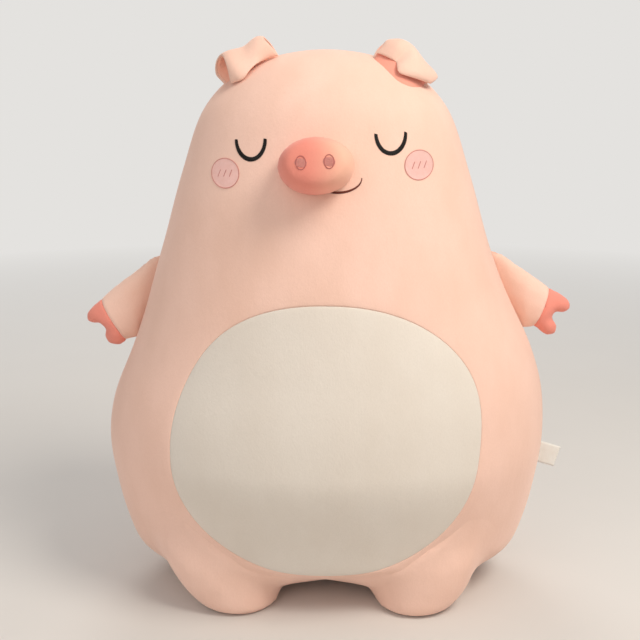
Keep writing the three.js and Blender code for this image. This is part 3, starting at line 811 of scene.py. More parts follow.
class PIG_OT_body(bpy.types.Operator):
    """Builds the body's panels, the belly panel and the covers of the legs"""

    bl_idname = "pig.body"
    bl_label = "Body and legs"

    def execute(self, context):
        s = sizes()
        body = body_sphere()
        seams = seam_lines()
        points = lean_of(coordinates(body))
        move_to(body, points)
        full_tree = BVHTree.FromBMesh(body)
        skin = merged_skin(body)
        rest = coordinates(skin)
        legs = solid_surface([name for side in SIDES for name in leg_nodes(side)])
        from_legs = away_from(legs, rest)
        joint = np.maximum(from_legs, away_from(full_tree, rest))
        weights = 1 - smooth_step(joint, *JOINT_FILLED)
        filled(skin, weights * smooth_step(belly_reach(rest), 0.0, 0.05), JOINT_ROUNDS)
        before = coordinates(skin)
        swell(skin, seams, 0.018, s.puff * 1.5, BODY_CLOTH_VOXEL)
        carry(body, before, coordinates(skin) - before)
        rolled = drawn_in(coordinates(body), body_normals(body), seams, s.seam_depth, s.seam_width)
        move_to(body, rolled)
        seat_on_floor(body)
        side_ring = BELLY_RINGS + FRONT_RINGS
        panel(body, lambda r, c: max(r) <= BELLY_RINGS, "belly", "plush_cream", ["belly_panel"])
        panel(
            body, lambda r, c: BELLY_RINGS <= min(r) and max(r) <= side_ring,
            "body_front", "plush_pink", ["body_front_panel", "body_filling"],
        )
        for side, sign in SIDES.items():
            name = f"body_back_{side}"
            panel(
                body, lambda r, c: min(r) >= side_ring and c.x * sign > 0,
                name, "plush_pink", [f"{name}_panel"],
            )
        for side in SIDES:
            leg_cover(skin, side)
        body.free()
        skin.free()
        return {"FINISHED"}


def leg_cover(skin, side):
    """A leg's cover: the skin round the leg, which runs up over the body and dives under its cover there."""
    s = sizes()
    part = skin.copy()
    points = coordinates(part)
    away = away_from(solid_surface([f"{side}_leg_cover"]), points)
    belly = belly_reach(points)
    at_rim = smooth_step(away, 0.35 * s.fillet, s.fillet)
    at_belly = 1 - smooth_step(belly, 0.02, 0.10)
    dive = np.where(away < STAYS_ABOVE, 0.0, RIM_DIVE * np.maximum(at_rim, at_belly))
    move_to(part, points - body_normals(part) * dive[:, None])
    part.verts.ensure_lookup_table()
    spare = [part.verts[int(i)] for i in np.nonzero((away > s.fillet) | (belly < 0.01))[0]]
    bmesh.ops.delete(part, geom=spare, context="VERTS")
    part = largest_part(part)
    seat_on_floor(part, 0.0006)
    part.normal_update()
    nodes = [f"{side}_leg_cover", f"{side}_leg_filling"]
    add_piece(f"{side}_leg", part, "plush_pink", "body", nodes, wall=s.cover, subdivide=1)


class PIG_OT_soles(bpy.types.Operator):
    """Builds the oval soles under the legs"""

    bl_idname = "pig.soles"
    bl_label = "Soles"

    def execute(self, context):
        for side in SIDES:
            low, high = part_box(f"{side}_leg_sole")
            centre = (low + high) / 2
            bm = bmesh.new()
            bmesh.ops.create_uvsphere(bm, u_segments=48, v_segments=16, radius=1.0)
            for vertex in bm.verts:
                x, y, z = vertex.co
                vertex.co.x = centre.x + x * (high.x - low.x) / 2
                vertex.co.y = centre.y + y * (high.y - low.y) / 2
                vertex.co.z = high.z / 2 + high.z / 2 * math.copysign(abs(z) ** 0.35, z)
            bm.normal_update()
            add_piece(f"{side}_sole", bm, "plush_pink", "body", [f"{side}_leg_sole"])
        return {"FINISHED"}


def surface_of(names):
    """A tree of the outer surfaces of some pieces."""
    bm = bmesh.new()
    for name in names:
        bm.from_mesh(bpy.data.objects[name].data)
    tree = BVHTree.FromBMesh(bm)
    bm.free()
    return tree


def lay_on(tree, x, z, towards=(0, 1, 0), start=-0.4):
    """The point and the normal where the surface lies behind a place in the front view."""
    place, normal, _, _ = tree.ray_cast(Vector((x, start, z)), Vector(towards))
    if place is None:
        raise RuntimeError(f"no surface lies behind x {x:.3f}, z {z:.3f}")
    return place, normal


# Embroidery


def stitch(centre, along, up, length, thick):
    """The place of one stitch, a low bead of thread: a unit ball's matrix."""
    along = along.normalized()
    across = up.cross(along).normalized()
    up = along.cross(across)
    columns = (across * thick / 2, up * thick / 2, along * length / 2)
    return Matrix([[column[row] for column in columns] + [centre[row]] for row in range(3)] + [[0, 0, 0, 1]])


def sewn(stitches, pale=0.0):
    """A bmesh with a bead of thread for each stitch, with its share of the pale tone."""
    ball = bmesh.new()
    bmesh.ops.create_uvsphere(ball, u_segments=6, v_segments=5, radius=1.0)
    bead = bpy.data.meshes.new("bead")
    ball.to_mesh(bead)
    ball.free()
    bm = bmesh.new()
    for place in stitches:
        placed = bead.copy()
        placed.transform(place)
        bm.from_mesh(placed)
        bpy.data.meshes.remove(placed)
    bpy.data.meshes.remove(bead)
    return tone_and_painted_light(bm, lambda place: pale)


def resampled(points, pitch):
    """Points at an even pitch along a line of points, with the share of the way at each."""
    line = np.array(points, float)
    along = np.concatenate([[0], np.cumsum(np.linalg.norm(np.diff(line, axis=0), axis=1))])
    count = max(int(along[-1] / pitch), 2)
    shares = np.linspace(0, 1, count + 1)
    places = [np.interp(shares * along[-1], along, line[:, i]) for i in range(line.shape[1])]
    return np.stack(places, axis=1), shares


def turned(centre, x, z, tilt):
    """A place beside a centre in the front view, turned round that centre."""
    cos, sin = math.cos(tilt), math.sin(tilt)
    return centre[0] + x * cos - z * sin, centre[1] + x * sin + z * cos


def satin_line(tree, line, width, s, slant=0.35, rise=0.3, closed=False):
    """Stitches laid side by side across a line drawn in the front view, on a surface."""
    stitches = []
    places, shares = resampled(line, s.thread * 0.62)
    on = [lay_on(tree, x, z) for x, z in places]
    for i, (share, (place, normal)) in enumerate(zip(shares, on)):
        ahead = on[min(i + 1, len(on) - 1)][0] - on[max(i - 1, 0)][0]
        if closed and i == len(on) - 1:
            continue
        side = normal.cross(ahead).normalized()
        along = side + ahead.normalized() * slant
        wide = width(share)
        stitches.append(
            stitch(place + normal * s.thread * rise, along, normal, max(wide, s.thread * 1.6), s.thread)
        )
    return stitches


def fill_stitches(tree, centre, half_width, half_height, turn, s, step=0.0042):
    """Rows of stitches that fill an oval, each row set off by a part of a stitch from the last."""
    stitches = []
    pitch = s.thread * 0.78
    rows = int(2 * half_height / pitch)
    for row in range(rows + 1):
        v = -half_height + row * pitch
        reach = half_width * math.sqrt(max(1 - (v / half_height) ** 2, 0))
        if reach < s.thread:
            continue
        offset = (row % 3) / 3 * step
        cuts = np.concatenate([[-reach], np.arange(-reach + offset + step / 3, reach, step), [reach]])
        for start, end in zip(cuts, cuts[1:]):
            if end - start < s.thread * 0.8:
                continue
            u = (start + end) / 2
            ends = [lay_on(tree, *turned(centre, w, v, turn))[0] for w in (start, end)]
            place, normal = lay_on(tree, *turned(centre, u, v, turn))
            along = ends[1] - ends[0]
            stitches.append(
                stitch(place + normal * s.thread * 0.2, along, normal, along.length * 1.12, s.thread)
            )
    return stitches


def arc(centre, width, depth, tilt, steps=40):
    """The lower half of an oval, in the front view."""
    angles = [math.pi * (1 + i / steps) for i in range(steps + 1)]
    return [turned(centre, width / 2 * math.cos(a), depth * math.sin(a), tilt) for a in angles]


def oval(centre, half_width, half_height, tilt, steps=60):
    angles = [2 * math.pi * i / steps for i in range(steps + 1)]
    return [turned(centre, half_width * math.cos(a), half_height * math.sin(a), tilt) for a in angles]


def eye_taper(share):
    """An eye's line is a little thinner towards its two ends, which are round."""
    return 0.72 + 0.28 * math.sin(math.pi * share) ** 0.6


class PIG_OT_eyes(bpy.types.Operator):
    """Embroiders the two closed eyes"""

    bl_idname = "pig.eyes"
    bl_label = "Eyes"

    def execute(self, context):
        s = sizes()
        tree = surface_of(["body_front"])
        for side in SIDES:
            low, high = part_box(f"{side}_eye_stitches")
            centre = ((low.x + high.x) / 2, high.z - s.eye_width / 2 * math.sin(s.face_tilt))
            line = arc(centre, s.eye_width, s.eye_depth, s.face_tilt)
            stitches = satin_line(tree, line, lambda t: s.eye_line * eye_taper(t), s, slant=0.25)
            add_piece(f"{side}_eye", sewn(stitches), "thread_dark", "body", [f"{side}_eye_stitches"])
        return {"FINISHED"}


class PIG_OT_cheeks(bpy.types.Operator):
    """Embroiders the two cheeks, each with its border and its three strokes"""

    bl_idname = "pig.cheeks"
    bl_label = "Cheeks"

    def execute(self, context):
        s = sizes()
        tree = surface_of(["body_front"])
        for side in SIDES:
            low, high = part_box(f"{side}_cheek_border")
            centre = ((low.x + high.x) / 2, (low.z + high.z) / 2)
            half = ((high.x - low.x) / 2 - s.cheek_line / 2, (high.z - low.z) / 2 - s.cheek_line / 2)
            patch = sewn(fill_stitches(tree, centre, half[0], half[1], math.radians(90), s))
            add_piece(f"{side}_cheek", patch, "plush_rose", "body", [f"{side}_cheek_patch"])
            line = oval(centre, *half, s.face_tilt)
            border = sewn(satin_line(tree, line, lambda t: s.cheek_line, s, rise=0.7, closed=True), 0.55)
            add_piece(f"{side}_cheek_rim", border, "thread_rose", "body", [f"{side}_cheek_border"])
            for i in range(1, 4):
                name = f"{side}_cheek_stroke_{i}"
                low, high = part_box(name)
                ends = [(low.x + 0.0006, low.z + 0.0006), (high.x - 0.0006, high.z - 0.0006)]
                stroke = sewn(satin_line(tree, ends, lambda t: s.cheek_line, s, rise=0.9), 0.45)
                add_piece(f"{name}_line", stroke, "thread_rose", "body", [name])
        return {"FINISHED"}


# Snout


class PIG_OT_snout(bpy.types.Operator):
    """Builds the snout with its two nostrils, and the mouth under it"""

    bl_idname = "pig.snout"
    bl_label = "Snout and mouth"

    def execute(self, context):
        s = sizes()
        nodes = ["snout_cover", "snout_filling"]
        form = melted(cad_copy(nodes), SNOUT_VOXEL, 10)
        low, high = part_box("snout_cover")
        base = [v.co for v in form.verts if v.co.y > high.y - 0.012]
        swell(form, base, 0.010, LIMB_CAP, LIMB_CLOTH_VOXEL)
        width = high.x - low.x
        # Painted highlight: the coral pales towards the snout's own left side, where the key light falls
        tone_and_painted_light(form, lambda place: smooth_step(place.x - low.x, 0.35 * width, width))
        add_piece("snout", form, "plush_coral", "body", nodes, subdivide=1)
        tree = surface_of(["snout"])
        for side in SIDES:
            nostril_low, nostril_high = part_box(f"{side}_nostril")
            centre = (nostril_low + nostril_high) / 2
            half = ((nostril_high.x - nostril_low.x) / 2, (nostril_high.z - nostril_low.z) / 2)
            line = oval((centre.x, centre.z), half[0] - 0.0008, half[1] - 0.0008, s.face_tilt)
            rim = sewn(satin_line(tree, line, lambda t: 0.0012, s, rise=0.6, closed=True), 0.1)
            add_piece(f"{side}_nostril_rim", rim, "thread_rose", "body", [f"{side}_nostril"])
            inner = (half[0] - 0.0012, half[1] - 0.0012)
            fill = sewn(fill_stitches(tree, (centre.x, centre.z), *inner, math.radians(80), s, 0.003), 0.5)
            add_piece(f"{side}_nostril_fill", fill, "thread_rose", "body")
        low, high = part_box("mouth_stitches")
        middle = ((low.x + high.x) / 2, high.z - 0.001)
        line = arc(middle, high.x - low.x, high.z - low.z - 0.005, s.face_tilt)
        mouth = satin_line(surface_of(["body_front"]), line, lambda t: s.mouth_line * mouth_taper(t), s)
        add_piece("mouth", sewn(mouth, 0.8), "thread_dark", "body", ["mouth_stitches"])
        return {"FINISHED"}


def mouth_taper(share):
    """The mouth's line is widest under the snout and runs out thin at its ends."""
    return 0.35 + 0.65 * math.sin(math.pi * share)


# Ears


def ear_frame(side):
    """The hinge line of an ear: its middle, the way outwards along it, the way forwards and the way up."""
    joint = joint_of(f"{side}_ear_flap")
    base = Vector(joint["axis"]).normalized()
    base *= math.copysign(1, base.x * SIDES[side])
    tree = surface_of(["body_front"])
    seat, normal, _, _ = tree.find_nearest(Vector(joint["pos_m"]))
    normal = (normal - base * normal.dot(base)).normalized()
    forward = base.cross(normal)
    if forward.y > 0:
        forward.negate()
    return seat, base, forward, normal, tree


# Each ear's form: rows go from its root over the fold to its tip, and columns from its inner edge to its
# outer edge. Each point is given in millimetres along the hinge line, forwards and above the head.
EAR_NETS = {
    "right": [
        [(-36, 2, -3), (-19, 2, -3), (0, 2, -3), (18, 2, -3), (37, 2, -3)],
        [(-35, -2, 8), (-19, -6, 7), (0, -8, 6), (19, -8, 6), (41, -6, 6)],
        [(-33, -1, 18), (-19, -6, 16), (0, -8, 15), (20, -9, 17), (43, -8, 16)],
        [(-30, 2, 24), (-20, -1, 26), (-2, -2, 21), (17, -2, 25), (36, -3, 26)],
        [(-29, 8, 25), (-20, 8, 26), (-2, 8, 22), (15, 10, 27), (25, 8, 29)],
        [(-32, 11, 18), (-18, 16, 18), (0, 20, 15), (15, 24, 19), (24, 22, 19)],
        [(-35, 9, 8), (-18, 17, 9), (-2, 26, 7), (14, 33, 9), (27, 27, 8)],
        [(-36, 5, 2), (-18, 14, 3), (-2, 30, 5), (12, 36, 2), (28, 27, 2)],
    ],
    "left": [
        [(-34, 9, -3), (-22, 25, -3), (-8, 38, -3), (5, 44, -3), (22, 37, -3), (37, 11, -3)],
        [(-34, 4, 6), (-22, 15, 6), (-8, 26, 6), (5, 31, 6), (20, 25, 4), (38, 4, 4)],
        [(-33, 1, 12), (-22, 6, 14), (-8, 13, 15), (5, 15, 13), (20, 12, 11), (41, 0, 8)],
        [(-30, 2, 18), (-20, 3, 21), (-8, 5, 24), (6, 5, 22), (21, 3, 16), (44, 0, 12)],
        [(-29, 5, 20), (-16, 7, 27), (-4, 8, 28), (8, 9, 25), (23, 8, 19), (46, 5, 16)],
        [(-30, 8, 15), (-14, 17, 22), (-2, 18, 20), (10, 24, 22), (24, 22, 19), (45, 12, 14)],
        [(-32, 11, 9), (-16, 22, 12), (-6, 25, 10), (2, 37, 13), (22, 34, 14), (42, 17, 10)],
        [(-33, 12, 6), (-18, 22, 8), (-7, 27, 8), (0, 43, 7), (20, 36, 8), (40, 17, 7)],
    ],
}


# How far from its hinge line an ear stays with the head, and from where on it moves freely
EAR_BEND = {"right": (0.005, 0.014), "left": (0.013, 0.027)}


def spline_weights(count, steps):
    """How much each control point of a smooth line counts at each step along it."""
    weights = np.zeros((steps + 1, count))
    for step in range(steps + 1):
        t = step / steps * (count - 1)
        i = min(int(t), count - 2)
        f = t - i
        shares = (
            -0.5 * f + f**2 - 0.5 * f**3,
            1 - 2.5 * f**2 + 1.5 * f**3,
            0.5 * f + 2 * f**2 - 1.5 * f**3,
            -0.5 * f**2 + 0.5 * f**3,
        )
        for k, share in zip((i - 1, i, i + 1, i + 2), shares):
            if k < 0:
                weights[step, 0] += 2 * share
                weights[step, 1] -= share
            elif k >= count:
                weights[step, count - 1] += 2 * share
                weights[step, count - 2] -= share
            else:
                weights[step, k] += share
    return weights


def ear_surface(side, rows, columns):
    """Points of an ear's middle layer, in rows and columns, above the head's own surface."""
    seat, base, forward, up, tree = ear_frame(side)
    net = np.array(EAR_NETS[side], float) * MM
    down, along_row = spline_weights(len(net), rows), spline_weights(len(net[0]), columns)
    grid = np.einsum("ri,cj,ijk->rck", down, along_row, net)
    places = np.zeros((rows + 1, columns + 1, 3))
    for r in range(rows + 1):
        for c in range(columns + 1):
            along, ahead, height = grid[r, c]
            start = seat + base * along + forward * ahead + up * 0.1
            on, _, _, _ = tree.ray_cast(start, -up)
            on = on if on is not None else start - up * 0.1
            places[r, c] = on + up * height
    return places


def within(places, edge):
    """The same layer with its two sides and its tip drawn in by a share of its width and its length."""
    rows, columns = places.shape[0], places.shape[1]
    across = np.linspace(edge, 1 - edge, columns) * (columns - 1)
    along = np.linspace(0, 1 - edge, rows) * (rows - 1)
    left, low = np.minimum(across.astype(int), columns - 2), np.minimum(along.astype(int), rows - 2)
    u, v = (across - left)[None, :, None], (along - low)[:, None, None]
    near = places[low][:, left] * (1 - u) + places[low][:, left + 1] * u
    far = places[low + 1][:, left] * (1 - u) + places[low + 1][:, left + 1] * u
    return near * (1 - v) + far * v


def ear_layer(places, offset, rim):
    """One layer of an ear, its faces towards the side that offset names, drawn to the middle at its rim."""
    rows, columns = places.shape[0] - 1, places.shape[1] - 1
    bm = bmesh.new()
    bmesh.ops.create_grid(bm, x_segments=columns, y_segments=rows, size=0.5)
    bm.verts.ensure_lookup_table()
    index = {}
    for vertex in bm.verts:
        c = round((vertex.co.x + 0.5) * columns)
        r = round((vertex.co.y + 0.5) * rows)
        index[vertex] = (r, c)
        vertex.co = places[r, c]
    bm.normal_update()
    middle = {v: (v.co.copy(), v.normal.copy()) for v in bm.verts}
    for vertex, (r, c) in index.items():
        u = abs(2 * c / columns - 1)
        v = r / rows
        open_rim = min(1 - u, 1 - v) / rim
        share = math.sqrt(max(1 - (1 - min(open_rim, 1)) ** 2, 0))
        co, normal = middle[vertex]
        vertex.co = co + normal * offset * (0.25 + 0.75 * share)
    if offset < 0:
        bmesh.ops.reverse_faces(bm, faces=bm.faces)
    bm.normal_update()
    return bm


class PIG_OT_ears(bpy.types.Operator):
    """Builds the two ears, each an outer layer and a coral lining, folded forwards"""

    bl_idname = "pig.ears"
    bl_label = "Ears"

    def execute(self, context):
        s = sizes()
        for side in SIDES:
            places = ear_surface(side, 30, 24)
            seat, _, forward, up, _ = ear_frame(side)
            away = up * 0.87 + forward * 0.5
            still, free = EAR_BEND[side]
            bend = ("body", f"{side}_ear", seat + away * still, seat + away * free)
            # Both linings are partly a lighter lining tone; the right ear's extra paleness is painted light,
            # lit pile with light shining through it
            pale = 0.8 if side == "right" else 0.3
            for name, slot, offset, edge in (
                ("outer", "plush_pink", -s.ear_layer, 0.0),
                ("lining", "plush_coral", s.ear_layer, 0.035),
            ):
                flip = -1 if side == "right" else 1
                bm = tone_and_painted_light(ear_layer(within(places, edge), offset * flip, 0.16), lambda place: pale)
                nodes = [f"{side}_ear_{name}"]
                add_piece(f"{side}_ear_{name}_layer", bm, slot, bend, nodes, s.ear_layer * 0.98, 1)
        return {"FINISHED"}


# Arms


class PIG_OT_arms(bpy.types.Operator):
    """Builds the two arms, each a pink sleeve and a coral cloven hoof"""

    bl_idname = "pig.arms"
    bl_label = "Arms"

    def execute(self, context):
        for side, sign in SIDES.items():
            self.arm(side, sign)
        return {"FINISHED"}

    def arm(self, side, sign):
        solids = [f"{side}_arm_{part}" for part in ("sleeve", "hoof", "filling")]
        form = melted(cad_copy(solids), ARM_VOXEL, 8)
        joint = joint_of(f"{side}_arm_swing")
        pivot = Vector(joint["pos_m"])
        cuff_point, cuff_way = self.cuff(side)
        self.raise_shoulder(form, pivot, Vector(joint["axis"]))
        self.bend_hoof(form, cuff_point, cuff_way, sign)
        root = self.sew_on(form)
        seam = np.array([v.co for v in form.verts if abs(v.co.y) < ARM_SEAM_NEAR])
        swell(form, root, 0.006, LIMB_CAP, LIMB_CLOTH_VOXEL)
        form.normal_update()
        move_to(form, drawn_in(coordinates(form), body_normals(form), seam, *ARM_SEAM))
        bend = ("body", f"{side}_arm", (pivot.x, 0, 0), (pivot.x + sign * 0.014, 0, 0))
        for name, slot, away, rides, nodes in (
            ("sleeve", "plush_pink", 1, bend, [f"{side}_arm_sleeve", f"{side}_arm_filling"]),
            ("hoof", "plush_coral", -1, f"{side}_arm", [f"{side}_arm_hoof"]),
        ):
            part = form.copy()
            cut = bmesh.ops.bisect_plane(
                part,
                geom=[*part.verts, *part.edges, *part.faces],
                plane_co=cuff_point,
                plane_no=cuff_way * away,
                clear_outer=True,
            )
            rim = [e for e in cut["geom_cut"] if isinstance(e, bmesh.types.BMEdge)]
            edge_points = np.array([v.co for e in rim for v in e.verts])
            part.normal_update()
            move_to(part, drawn_in(coordinates(part), body_normals(part), edge_points, *CUFF_SEAM))
            bmesh.ops.holes_fill(part, edges=[e for e in part.edges if e.is_boundary], sides=0)
            bmesh.ops.triangulate(part, faces=[f for f in part.faces if len(f.verts) > 4])
            add_piece(f"{side}_{name}", part, slot, rides, nodes)
        form.free()

    def raise_shoulder(self, form, pivot, axis):
        """Lifts the top of an arm's root, where the filling packs the sleeve full."""
        axis = axis * math.copysign(1, axis.z)
        points = coordinates(form) - np.array(pivot)
        height = points @ np.array(axis)
        reach = np.linalg.norm(points - height[:, None] * np.array(axis), axis=1)
        rise = sizes().shoulder * smooth_step(height, 0.0, 0.050) * (1 - smooth_step(reach, 0.010, 0.045))
        move_to(form, points + np.array(pivot) + rise[:, None] * np.array(axis))

    def bend_hoof(self, form, centre, way, sign):
        """Bends the hoof down from the cuff's seam on."""
        for vertex in form.verts:
            out = (vertex.co - centre).dot(way)
            turn = sizes().hoof_bend * float(smooth_step(out, 0.0, 0.020)) * sign
            vertex.co = centre + Matrix.Rotation(turn, 3, "Y") @ (vertex.co - centre)
        form.normal_update()

    def sew_on(self, form):
        """Draws an arm's root to the body's surface, and gives the root's points."""
        cad_tree = solid_surface(["body_front_panel", "body_back_left_panel", "body_back_right_panel"])
        body = surface_of(["body_front", "body_back_left", "body_back_right"])
        points = coordinates(form)
        off = away_from(cad_tree, points)
        seated = off < off.min() + ARM_ROOT
        root = points[seated]
        gaps, ways = [], []
        for point in root:
            place, normal, _, _ = body.find_nearest(Vector(point))
            gaps.append(max((Vector(point) - place).dot(normal) + 0.002, 0))
            ways.append(normal)
        root_tree = tree_of(root)
        pulls = np.array([way * gap for way, gap in zip(ways, gaps)])
        fall = 1 - smooth_step(off, 0.002, 0.050)
        for i in np.nonzero(fall > 0)[0]:
            near = root_tree.find_n(points[i], 60)
            shares = np.array([1 / (distance + 0.006) for _, _, distance in near])
            pull = (pulls[[index for _, index, _ in near]] * shares[:, None]).sum(axis=0) / shares.sum()
            points[i] -= pull * fall[i]
        move_to(form, points)
        return points[seated]

    def cuff(self, side):
        """A point on the seam between a sleeve and its hoof, and the way across it, out to the hoof."""
        sleeve = coordinates(cad_copy([f"{side}_arm_sleeve"]))
        hoof = coordinates(cad_copy([f"{side}_arm_hoof"]))
        tree = tree_of(hoof)
        shared = np.array([p for p in sleeve if tree.find(p)[2] < 0.0006])
        centre = shared.mean(axis=0)
        _, _, ways = np.linalg.svd(shared - centre)
        way = Vector(ways[-1])
        way *= math.copysign(1, way.x * SIDES[side])
        return Vector(centre), way


# Tail


class PIG_OT_tail(bpy.types.Operator):
    """Builds the short curled tail"""

    bl_idname = "pig.tail"
    bl_label = "Tail"

    def execute(self, context):
        form = melted(cad_copy(["tail"]), TAIL_VOXEL, 8)
        low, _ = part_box("tail")
        bend = ("body", "tail", (0, low.y + 0.004, 0), (0, low.y + 0.014, 0))
        add_piece("tail_curl", form, "plush_pink", bend, ["tail"])
        return {"FINISHED"}


# Closing seam


class PIG_OT_closing_seam(bpy.types.Operator):
    """Sews up the opening in the back with slanted stitches"""

    bl_idname = "pig.closing_seam"
    bl_label = "Closing seam"

    def execute(self, context):
        s = sizes()
        low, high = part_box("closing_stitches")
        tree = surface_of(["body_back_left", "body_back_right"])
        stitches = []
        slant = CLOSING_PITCH * 0.2
        for i in range(int((high.z - low.z) / CLOSING_PITCH)):
            z = low.z + (i + 0.5) * CLOSING_PITCH
            ends = []
            for x, dz in ((low.x - CLOSING_REACH, -slant), (high.x + CLOSING_REACH, slant)):
                place, normal, _, _ = tree.ray_cast(Vector((x, 0.4, z + dz)), Vector((0, -1, 0)))
                ends.append((place, normal))
            along = ends[1][0] - ends[0][0]
            normal = (ends[0][1] + ends[1][1]).normalized()
            centre = (ends[0][0] + ends[1][0]) / 2
            stitches.append(stitch(centre, along, normal, along.length, s.thread * 1.6))
        add_piece("closing_ladder", sewn(stitches), "thread_pink", "body", ["closing_stitches"])
        return {"FINISHED"}


# Care label

# The length that shows, the width of the tape, the gap between its halves and the length in the seam
LABEL_LENGTH = 0.027
LABEL_WIDTH = 0.028
LABEL_GAP = 0.0006
LABEL_ROOT = 0.004


class PIG_OT_label(bpy.types.Operator):
    """Builds the folded care label in the side seam"""

    bl_idname = "pig.label"
    bl_label = "Care label"

    def execute(self, context):
        s = sizes()
        root = Vector(joint_of("label_flap")["pos_m"])
        out = Vector((math.cos(s.label_droop), 0, -math.sin(s.label_droop)))
        across = Vector((math.sin(s.label_droop), 0, math.cos(s.label_droop)))
        length, width, gap = LABEL_LENGTH, LABEL_WIDTH, LABEL_GAP
        profile = []
        steps = 16
        for i in range(steps + 1):
            t = i / steps
            bulge = gap * (0.6 + 1.4 * math.sin(math.pi * t) ** 2)
            profile.append((-LABEL_ROOT + t * (length + 0.0035), bulge))
        fold = [(length - 0.0002, gap * 0.35), (length + 0.0002, 0.0), (length - 0.0002, -gap * 0.35)]
        line = profile[:-1] + fold + [(x, -y) for x, y in reversed(profile[:-1])]
        bm = bmesh.new()
        bmesh.ops.create_grid(bm, x_segments=len(line) - 1, y_segments=12, size=0.5)
        for vertex in bm.verts:
            x, y = line[round((vertex.co.x + 0.5) * (len(line) - 1))]
            bow = 0.0016 * (max(x, 0) / length) ** 2
            vertex.co = root + out * x + Vector((0, y - bow, 0)) + across * width * vertex.co.y
        bmesh.ops.recalc_face_normals(bm, faces=bm.faces)
        nodes = ["care_label"]
        piece = add_piece("side_label", bm, "label_tape", "care_label", nodes, wall=0.0003, deeper=False)
        return {"FINISHED"}


# Stage


def seen_rays(tree):
    """1 for the rays that show the background, from the camera or by way of something shiny or clear."""
    path = node(tree, "ShaderNodeLightPath")
    rays = path.outputs["Is Camera Ray"]
    for kind in ("Is Glossy Ray", "Is Transmission Ray"):
        either = node(tree, "ShaderNodeMath", operation="MAXIMUM")
        tree.links.new(rays, either.inputs[0])
        tree.links.new(path.outputs[kind], either.inputs[1])
        rays = either.outputs[0]
    return rays


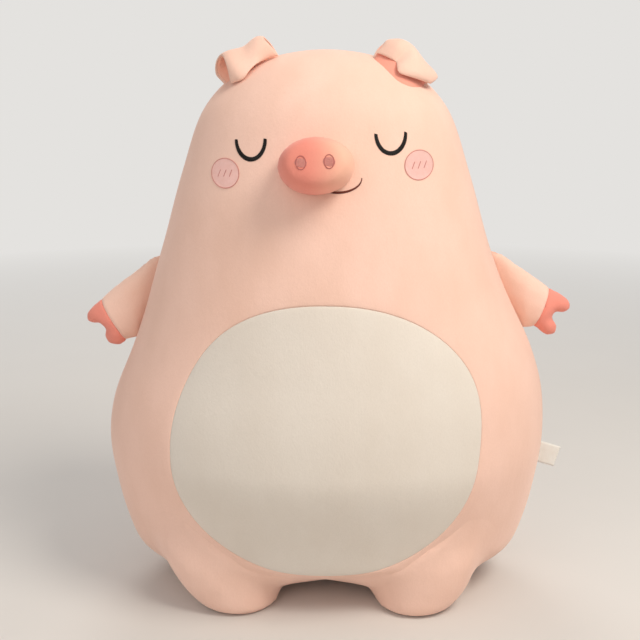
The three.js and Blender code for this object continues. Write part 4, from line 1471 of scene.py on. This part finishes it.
class PIG_OT_stage(bpy.types.Operator):
    """Sets the floor, the lights and the camera"""

    bl_idname = "pig.stage"
    bl_label = "Stage"

    def execute(self, context):
        self.floor()
        self.lights(context.scene)
        self.camera(context.scene)
        context.scene.view_settings.view_transform = "Standard"
        return {"FINISHED"}

    def floor(self):
        bm = bmesh.new()
        bmesh.ops.create_circle(bm, cap_ends=True, segments=64, radius=7.0)
        mesh = bpy.data.meshes.new("floor")
        bm.to_mesh(mesh)
        bm.free()
        material, tree, shader, place = shader_start("floor")
        grain = noise(tree, place, 5, 3.0)
        base = colours().floor
        toned = mixed(tree, spread(tree, grain, 0.3, 0.7, 0.0, 0.35), base, darker(base, 0.96))
        tree.links.new(toned, shader.inputs["Base Color"])
        shader.inputs["Roughness"].default_value = 0.9
        away = node(tree, "ShaderNodeVectorMath", operation="LENGTH")
        tree.links.new(place.outputs["Object"], away.inputs[0])
        far = node(tree, "ShaderNodeMath", operation="MULTIPLY")
        tree.links.new(spread(tree, away.outputs["Value"], 0.9, 3.0, 0.0, 1.0), far.inputs[0])
        tree.links.new(seen_rays(tree), far.inputs[1])
        backdrop = node(tree, "ShaderNodeEmission", Strength=1.0)
        backdrop.inputs["Color"].default_value = (*colours().backdrop, 1)
        fade = node(tree, "ShaderNodeMixShader")
        tree.links.new(far.outputs[0], fade.inputs[0])
        tree.links.new(shader.outputs[0], fade.inputs[1])
        tree.links.new(backdrop.outputs[0], fade.inputs[2])
        tree.links.new(fade.outputs[0], tree.nodes["Material Output"].inputs["Surface"])
        mesh.materials.append(material)
        floor = bpy.data.objects.new("floor", mesh)
        bpy.context.scene.collection.objects.link(floor)

    def lights(self, scene):
        for name, place, size, power, tint in (
            ("key", (1.1, -0.95, 2.0), 1.0, 32, (1.0, 0.93, 0.84)),
            ("fill", (-0.9, -1.8, 1.5), 1.6, 8, (1.0, 0.96, 0.93)),
            ("back", (-0.4, 1.7, 1.9), 1.4, 14, (1.0, 0.97, 0.94)),
        ):
            lamp = bpy.data.lights.new(name, "AREA")
            lamp.shape = "DISK"
            lamp.size = size
            lamp.energy = power
            lamp.color = tint
            holder = bpy.data.objects.new(name, lamp)
            holder.location = place
            aim = Vector((0, 0, 0.33)) - Vector(place)
            holder.rotation_euler = aim.to_track_quat("-Z", "Y").to_euler()
            scene.collection.objects.link(holder)
        world = bpy.data.worlds.new("surroundings")
        scene.world = world
        world.use_nodes = True
        tree = world.node_tree
        soft = tree.nodes["Background"]
        soft.inputs["Color"].default_value = (1.0, 0.985, 0.97, 1)
        soft.inputs["Strength"].default_value = 0.46
        seen = node(tree, "ShaderNodeBackground", Strength=1.0)
        seen.inputs["Color"].default_value = (*colours().backdrop, 1)
        mix = node(tree, "ShaderNodeMixShader")
        tree.links.new(seen_rays(tree), mix.inputs[0])
        tree.links.new(soft.outputs[0], mix.inputs[1])
        tree.links.new(seen.outputs[0], mix.inputs[2])
        tree.links.new(mix.outputs[0], tree.nodes["World Output"].inputs["Surface"])

    def camera(self, scene):
        turn, pitch, away, height, aside = math.radians(1.2), math.radians(13), 1.2527, 0.6375, -0.007
        lens = bpy.data.cameras.new("camera")
        lens.sensor_width = 36
        lens.lens = 56.25
        holder = bpy.data.objects.new("camera", lens)
        right = Vector((math.cos(turn), math.sin(turn), 0))
        holder.location = Vector((math.sin(turn) * away, -math.cos(turn) * away, height)) + right * aside
        holder.rotation_euler = (math.pi / 2 - pitch, 0, turn)
        scene.collection.objects.link(holder)
        scene.camera = holder


class PIG_PT_panel(bpy.types.Panel):
    """Lists the pieces of the toy, its sizes and its colours"""

    bl_idname = "PIG_PT_panel"
    bl_label = "Stuffed toy pig"
    bl_space_type = "VIEW_3D"
    bl_region_type = "UI"
    bl_category = "Toy pig"

    def draw(self, context):
        for operator in PIECES:
            self.layout.operator(operator.bl_idname)
        for group, title in ((context.scene.pig_sizes, "Sizes"), (context.scene.pig_colours, "Colours")):
            box = self.layout.box()
            box.label(text=title)
            for name in group.bl_rna.properties.keys():
                if name not in ("rna_type", "name"):
                    box.prop(group, name)


PIECES = (
    PIG_OT_stage,
    PIG_OT_body,
    PIG_OT_soles,
    PIG_OT_eyes,
    PIG_OT_cheeks,
    PIG_OT_snout,
    PIG_OT_ears,
    PIG_OT_arms,
    PIG_OT_tail,
    PIG_OT_closing_seam,
    PIG_OT_label,
)
CLASSES = (PigSizes, PigColours, *PIECES, PIG_PT_panel)


def register():
    for kind in CLASSES:
        bpy.utils.register_class(kind)
    bpy.types.Scene.pig_sizes = bpy.props.PointerProperty(type=PigSizes)
    bpy.types.Scene.pig_colours = bpy.props.PointerProperty(type=PigColours)


def unregister():
    del bpy.types.Scene.pig_sizes
    del bpy.types.Scene.pig_colours
    for kind in reversed(CLASSES):
        bpy.utils.unregister_class(kind)


def main():
    register()
    bpy.ops.pig.stage()
    bpy.ops.pig.body()
    bpy.ops.pig.soles()
    bpy.ops.pig.eyes()
    bpy.ops.pig.cheeks()
    bpy.ops.pig.snout()
    bpy.ops.pig.ears()
    bpy.ops.pig.arms()
    bpy.ops.pig.tail()
    bpy.ops.pig.closing_seam()
    bpy.ops.pig.label()


if __name__ == "__main__":
    main()
